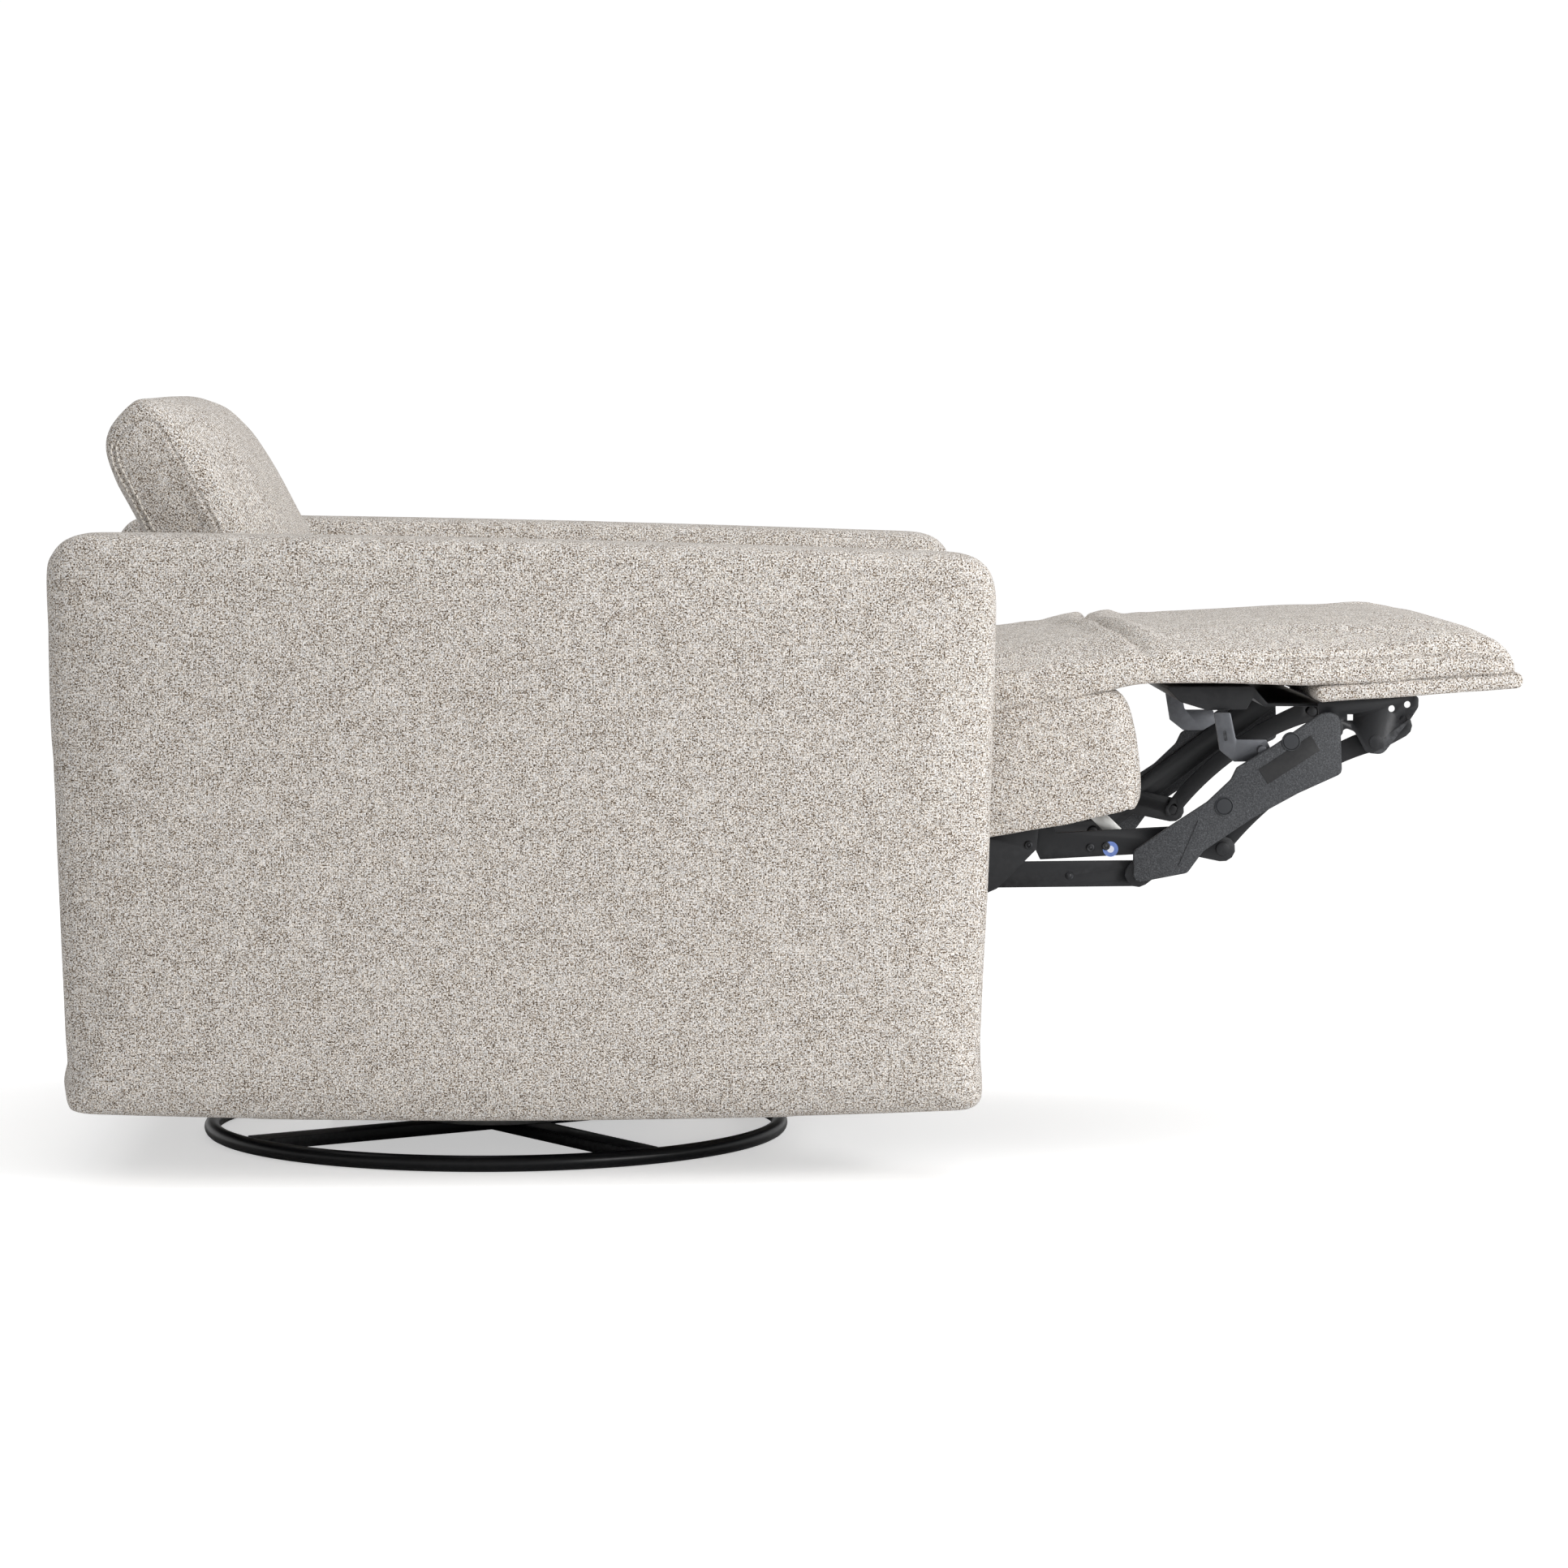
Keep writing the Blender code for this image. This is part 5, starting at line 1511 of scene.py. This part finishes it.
@dataclass
class Linkage:
    """Footrest linkage, recline and glide links, with their rivets and guards."""

    frame: dict[str, Any]
    guard_caps: tuple[Pair, ...] = ((0.415, 0.346), (0.479, 0.408))
    cap_r: float = 0.0092
    coupler: tuple[Pair, Pair] = ((0.4162, 0.3030), (0.5624, 0.4066))
    slim: float = 0.72
    crank_rise: float = 0.0145
    label_at: Pair = (0.4775, 0.3905)
    label_turn: float = math.radians(33)
    label_half: Pair = (0.0300, 0.0085)
    ridge_ends: tuple[Pair, Pair] = ((0.3720, 0.2885), (0.3905, 0.3315))
    slot_at: Pair = (0.4168, 0.4129)
    dot_at: Pair = (0.3080, 0.3030)
    carrier_face: float = 0.2325
    lift_face: float = 0.2375
    dressed_elsewhere: tuple[str, ...] = (
        "arm", "back_c", "seat_c", "seat_b", "seat_s", "footrest_c", "footrest_bo", "rear_panel", "base_ring",
    )
    looks: tuple[tuple[tuple[str, ...], Finish, float], ...] = (
        (("cross_member",), CLOTH, 0.0020),
        (("seat_frame", "back_frame"), PLY, 0.0010),
        (("release_tab",), CLOTH, 0.0010),
        (("link_guard",), GUARD, 0.0013),
        (("flap_support",), GREY, 0.0006),
        (("front_stay", "bearing", "swivel_bolt"), ZINC, 0.0003),
    )
    cap_profile: tuple[Pair, ...] = (
        (0.62, 0.0013), (0.78, 0.0012), (0.82, 0.0004), (0.86, 0.0004), (0.90, 0.0014), (0.97, 0.0012), (1.0, -0.0006),
    )
    openings: tuple[tuple[Pair, float, int], ...] = (((0.5375, 0.4302), 0.0042, 4), ((0.5880, 0.4285), 0.0033, 20))

    def finish_of(self, node: str) -> tuple[Finish, float]:
        """Choose a node's finish and edge rounding."""
        for starts, finish, edge in self.looks:
            if node.startswith(starts):
                return finish, edge
        return BLACK, 0.0006

    def build(self, trees: Trees) -> None:
        """Dress every plate, then add rivets, caps and labels."""
        for body, nodes in self.frame["record"]["behaviour"]["bodies"].items():
            for node in nodes:
                if node.startswith(self.dressed_elsewhere):
                    continue
                piece = dress_plate(node, body, *self.finish_of(node))
                if node.startswith("upper_link"):
                    self.crank(piece)
                elif node.startswith("footrest_bracket"):
                    self.pierce(piece)
        for side in Side:
            self.rivets(side, trees)
            self.caps(side)
        self.labels()

    def crank(self, piece: bpy.types.Object) -> None:
        """Slim a coupler about the line between its pivots and crank its middle upwards."""
        start, end = (np.array(c) for c in self.coupler)
        span = float(np.linalg.norm(end - start))
        along = (end - start) / span
        up = np.array((-along[1], along[0]))
        bm = bmesh.new()
        bm.from_mesh(piece.data)
        for share in np.linspace(0.03, 0.97, 20):
            spot = start + along * span * share
            geometry = list(bm.verts) + list(bm.edges) + list(bm.faces)
            bmesh.ops.bisect_plane(
                bm, geom=geometry, dist=1e-6, plane_co=(spot[0], 0, spot[1]), plane_no=(along[0], 0, along[1]),
            )
        bm.to_mesh(piece.data)
        bm.free()
        places = points_of(piece.data)
        flat = places[:, [0, 2]] - start
        run, off = flat @ along, flat @ up
        share = np.clip(run / span, 0, 1)
        rise = self.crank_rise * np.sin(math.pi * share) ** 0.75
        lead = np.where(run < 0, run * self.slim, run)
        keep = np.where(run > span, 1.0, self.slim + (1 - self.slim) * share**4)
        moved = start + lead[:, None] * along + (off * keep + rise)[:, None] * up
        places[:, 0], places[:, 2] = moved[:, 0], moved[:, 1]
        move_points(piece.data, places)

    def pierce(self, piece: bpy.types.Object) -> None:
        """Cut the square hole and the third round hole of a footrest bracket."""
        middle = float(points_of(piece.data)[:, 1].mean())
        for centre, radius, sides in self.openings:
            outline = circle(centre, radius, sides, 0.5)
            rings = [[(x, y, z) for x, z in outline] for y in (middle - 0.03, middle + 0.03)]
            cutter = loft("cutter", rings, BLACK)
            cut = piece.modifiers.new("opening", "BOOLEAN")
            cut.operation = "DIFFERENCE"
            cut.solver = "EXACT"
            cut.object = cutter
            settle(piece)
            bpy.data.objects.remove(cutter)

    def rivets(self, side: Side, trees: Trees) -> None:
        """Set rivet heads on the outer faces of the plates."""
        groups = {
            "seat": Heads(
                outer_face(f"seat_plate_{side.word}") + 0.0003, ((0.228, 0.308), (0.2305, 0.345), (0.205, 0.352)),
            ),
            "carrier": Heads(self.carrier_face + 0.0004, ((0.2885, 0.3045), (0.3035, 0.3060))),
            "lift": Heads(self.lift_face, ((0.268, 0.278),), height=0.0006),
        }
        for body, heads in groups.items():
            spots = [(x, side.value * heads.level, z) for x, z in heads.spots]
            base = spot_mesh("spots", spots, (0, side.value, 0))
            name = f"{body}_rivets_{side.word}"
            piece = trees.rivets.make(name, base, BLACK, Radius=heads.radius, Height=heads.height)
            mount(piece, body, BLACK)

    def caps(self, side: Side) -> None:
        """Add the round caps on the guard."""
        level = outer_face(f"link_guard_{side.word}")
        count = 28
        for number, (x, z) in enumerate(self.guard_caps, start=1):
            bm = bmesh.new()
            made = []
            for share, rise in self.cap_profile:
                outline = circle((x, z), self.cap_r * share, count)
                made.append([bm.verts.new((at, side.value * (level + rise), up)) for at, up in outline])
            centre = bm.verts.new((x, side.value * (level + self.cap_profile[0][1]), z))
            for i in range(count):
                k = (i + 1) % count
                bm.faces.new((centre, made[0][i], made[0][k]))
                for near, far in zip(made, made[1:]):
                    bm.faces.new((near[i], far[i], far[k], near[k]))
            bm.faces.new(made[-1])
            cap = add_mesh(f"guard_cap_{number}_{side.word}", bm, CAP)
            soften_edges(cap, 50)
            mount(cap, "long", CAP)

    def labels(self) -> None:
        """Add the blank label, the guards' ridges, the angles' slots and the plain dot on the right carrier link."""
        level = outer_face("link_guard_right")
        centre = Vector((self.label_at[0], 0, self.label_at[1]))
        along = Vector((math.cos(self.label_turn), 0, math.sin(self.label_turn)))
        up = Vector((-along.z, 0, along.x))
        half_long, half_high = self.label_half
        bm = bmesh.new()
        corners = []
        for y in (-(level + 0.0006), -(level - 0.0004)):
            for a, b in ((-1, -1), (1, -1), (1, 1), (-1, 1)):
                spot = centre + along * half_long * a + up * half_high * b
                corners.append(bm.verts.new((spot.x, y, spot.z)))
        bmesh.ops.convex_hull(bm, input=corners)
        label = add_mesh("blank_label", bm, LABEL)
        edge = label.modifiers.new("edges", "BEVEL")
        edge.width = 0.0004
        edge.segments = 2
        settle(label)
        soften_edges(label)
        mount(label, "long", LABEL)
        for side in Side:
            self.ridge(side, level)
            self.slot(side)
        for name, radius, lift, finish in (("rim", 0.0074, 0.0001, DOT_BLUE), ("face", 0.0034, 0.0003, DOT_PALE)):
            dot = self.disc(f"inspection_dot_{name}", self.dot_at, radius, self.carrier_face + lift, finish)
            mount(dot, "carrier", finish)

    def disc(self, name: str, spot: Pair, radius: float, level: float, finish: Finish) -> bpy.types.Object:
        """Make a thin disc on a plate's right-hand face.

        Args:
            name: The piece's name.
            spot: Its centre (x, z).
            radius: Its radius.
            level: How far out the face lies.
            finish: Its finish.

        Returns:
            The disc.
        """
        outline = circle(spot, radius, 32)
        rings = [[(x, y, z) for x, z in outline] for y in (-(level + 0.0004), -(level - 0.0004))]
        disc = loft(name, rings, finish)
        soften_edges(disc)
        return disc

    def ridge(self, side: Side, level: float) -> None:
        """Add the moulded ridge across the guard's lower end."""
        low, high = (Vector((x, 0, z)) for x, z in self.ridge_ends)
        across = (high - low).normalized().cross(Vector((0, 1, 0))) * 0.0012
        rings = []
        for spot in (low, high):
            ring = []
            for share, rise in ((-1, -0.0005), (-0.5, 0.0012), (0.5, 0.0012), (1, -0.0005)):
                point = spot + across * share
                ring.append((point.x, side.value * (level + rise), point.z))
            rings.append(ring)
        ridge = loft(f"guard_ridge_{side.word}", rings, GUARD)
        soften_edges(ridge)
        mount(ridge, "long", GUARD)

    def slot(self, side: Side) -> None:
        """Add the adjusting slot in the pressed angle as a flat black piece on its face, painted shade standing for the
        slot's dark opening.
        """
        outer = outer_face(f"flap_support_{side.word}")
        centre, half, radius = Vector((self.slot_at[0], 0, self.slot_at[1])), 0.0034, 0.0017
        lean = Vector((-0.18, 0, 1)).normalized()
        rings = []
        for rise in (0.00025, -0.0004):
            ring = []
            for i in range(24):
                a = math.tau * i / 24
                spot = centre + lean * (half * (1 if math.sin(a) >= 0 else -1))
                ring.append((
                    spot.x + radius * math.cos(a), side.value * (outer + rise), spot.z + radius * math.sin(a),
                ))
            rings.append(ring)
        # Painted shade: a flat black piece lies on the angle's face where the slot's opening shows dark; no hole is
        # cut.
        slot = loft(f"angle_slot_{side.word}", rings, BLACK)
        soften_edges(slot)
        mount(slot, "long", BLACK)


@dataclass
class FloorRing:
    """Round-tube floor ring with a narrow flat underside."""

    segments: int = 128
    around: int = 20
    flat: float = 0.96

    def build(self) -> None:
        """Model the ring finely, with its flat underside."""
        low, high = box_of("base_ring")
        centre = (low + high) / 2
        tube = (high.z - low.z) / 2
        reach = (high.x - low.x) / 2 - tube
        bm = bmesh.new()
        rings = []
        for i in range(self.segments):
            a = 2 * math.pi * i / self.segments
            ring = []
            for j in range(self.around):
                b = 2 * math.pi * j / self.around
                z = max(-self.flat, math.sin(b)) * tube
                r = reach + tube * math.cos(b)
                ring.append(bm.verts.new((centre.x + r * math.cos(a), r * math.sin(a), low.z + tube + z)))
            rings.append(ring)
        for i in range(self.segments):
            near, far = rings[i], rings[(i + 1) % self.segments]
            for j in range(self.around):
                k = (j + 1) % self.around
                bm.faces.new((near[j], far[j], far[k], near[k]))
        ring = add_mesh("floor_ring", bm, RING_BLACK)
        mount(ring, "base", RING_BLACK, ["base_ring"])


@dataclass
class RearPanel:
    """Low upholstered panel between the arms at the back."""

    voxel: float = 0.0055
    swell: float = 0.0008

    def build(self) -> None:
        """Soften the panel's edges and lay cloth on it."""
        panel = copy_node("rear_panel", "rear_panel_cover", TWEED)
        remesh(panel, self.voxel, 3)
        places = points_of(panel.data)
        lump = np.sin(places[:, 1] * 17) * np.sin(places[:, 2] * 23)
        move_points(panel.data, places + normals_of(panel.data) * (self.swell + self.swell * lump)[:, None])
        refine(panel)
        lay_cloth_map(panel.data)
        mount(panel, "chassis", TWEED, ["rear_panel"])


@dataclass
class SeatSprings:
    """Sinuous springs under the seat pad."""

    wire: float = 0.0019
    wave: float = 0.01728
    waves: int = 9
    fullness: float = 2.2

    def build(self, trees: Trees) -> None:
        """Bend the wire and lay it where the model's springs lie."""
        for number in (1, 2, 3):
            low, high = box_of(f"seat_spring_{number}")
            middle = (low.y + high.y) / 2
            slope = (high.z - low.z - 2 * self.wire) / (high.x - low.x)
            path = []
            count = self.waves * 16
            for i in range(count + 1):
                t = i / count
                x = low.x + self.wire + (high.x - low.x - 2 * self.wire) * t
                swing = math.tanh(self.fullness * math.sin(math.tau * self.waves * t)) / math.tanh(self.fullness)
                path.append((x, middle + self.wave * swing, low.z + self.wire + slope * (x - low.x)))
            base = line_mesh("route", path)
            piece = trees.wires.make(f"spring_wire_{number}", base, BLACK, Radius=self.wire, Pitch=0.004)
            mount(piece, "seat", BLACK, [f"seat_spring_{number}"])


@dataclass
class InnerFrames:
    """Plywood cores of the arms."""

    def build(self) -> None:
        """Dress the cores."""
        for side in Side:
            dress_plate(f"arm_frame_{side.word}", "chassis", PLY, 0.0010)


@dataclass(frozen=True)
class Softbox:
    """One square area light: its name, place, aim, side and power in watts."""

    name: str
    spot: Point
    aim: Point
    size: float
    power: float

    def hang(self) -> None:
        """Put the light in the scene."""
        data = bpy.data.lights.new(self.name, "AREA")
        data.size = self.size
        data.energy = self.power
        lamp = bpy.data.objects.new(self.name, data)
        bpy.context.scene.collection.objects.link(lamp)
        lamp.location = self.spot
        lamp.rotation_euler = (Vector(self.aim) - Vector(self.spot)).to_track_quat("-Z", "Y").to_euler()


@dataclass
class Studio:
    """Camera, pale floor and soft light."""

    eye: Point = (-0.1625, -5.25, 0.752)
    pitch: float = math.radians(4.39)
    yaw: float = math.radians(1.78)
    lens: float = 120.37
    floor_size: float = 60.0
    ambient: float = 0.585
    seen: float = 1.02
    softboxes: tuple[Softbox, ...] = (
        Softbox("key", (2.3, -2.1, 1.2), (0.0, -0.3, 0.35), 1.6, 56),
        Softbox("overhead", (0.6, -0.4, 3.0), (0.0, 0.0, 0.2), 2.4, 28),
    )
    lift: float = 0.50

    def build(self) -> None:
        """Set the whole studio."""
        self.camera()
        self.floor()
        self.lights()
        bpy.context.scene.view_settings.view_transform = "Standard"

    def camera(self) -> None:
        """Place the camera."""
        data = bpy.data.cameras.new("camera")
        data.lens = self.lens
        data.sensor_width = 36.0
        data.clip_end = 60.0
        camera = bpy.data.objects.new("camera", data)
        bpy.context.scene.collection.objects.link(camera)
        camera.location = self.eye
        flat = math.cos(self.pitch)
        aim = Vector((math.sin(self.yaw) * flat, math.cos(self.yaw) * flat, -math.sin(self.pitch)))
        camera.rotation_euler = aim.to_track_quat("-Z", "Y").to_euler()
        bpy.context.scene.camera = camera

    def floor(self) -> None:
        """Lay a plain pale floor."""
        bm = bmesh.new()
        bmesh.ops.create_grid(bm, x_segments=1, y_segments=1, size=self.floor_size / 2)
        made = bpy.data.materials.new("studio_floor")
        made.use_nodes = True
        shader = made.node_tree.nodes["Principled BSDF"]
        shader.inputs["Base Color"].default_value = (0.90, 0.90, 0.90, 1)
        shader.inputs["Emission Color"].default_value = (1, 1, 1, 1)
        graph = Graph(made.node_tree)
        glow = graph.node("ShaderNodeLightPath", output="Is Camera Ray") * self.lift
        made.node_tree.links.new(glow.socket, shader.inputs["Emission Strength"])
        shader.inputs["Roughness"].default_value = 0.9
        shader.inputs["Specular IOR Level"].default_value = 0.1
        mesh = bpy.data.meshes.new("studio_floor")
        bm.to_mesh(mesh)
        bm.free()
        mesh.materials.append(made)
        floor = bpy.data.objects.new("studio_floor", mesh)
        bpy.context.scene.collection.objects.link(floor)
        floor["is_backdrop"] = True

    def lights(self) -> None:
        """Hang the soft boxes and set the white surround."""
        world = bpy.data.worlds.new("surround")
        world.use_nodes = True
        graph = Graph(world.node_tree)
        seen = graph.node("ShaderNodeLightPath", output="Is Camera Ray")
        strength = self.ambient + seen * (self.seen - self.ambient)
        background = world.node_tree.nodes["Background"]
        background.inputs["Color"].default_value = (1, 1, 1, 1)
        world.node_tree.links.new(strength.socket, background.inputs["Strength"])
        bpy.context.scene.world = world
        for box in self.softboxes:
            box.hang()


def main() -> None:
    """Build the chair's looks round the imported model."""
    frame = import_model()
    sizes = {"model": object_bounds()}
    Studio().build()
    trees = Trees()
    Arms().build()
    BackRest().build(trees)
    ChaisePad().build()
    SeatBox().build()
    Footboard().build()
    RearPanel().build()
    SeatSprings().build(trees)
    InnerFrames().build()
    Linkage(frame).build(trees)
    FloorRing().build()
    sizes["looks"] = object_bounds()
    {name: [list(map(float, corner)) for corner in box] for name, box in sizes.items()}


if __name__ == "__main__":
    logging.basicConfig(level=logging.INFO, format="%(name)s %(message)s")
    main()
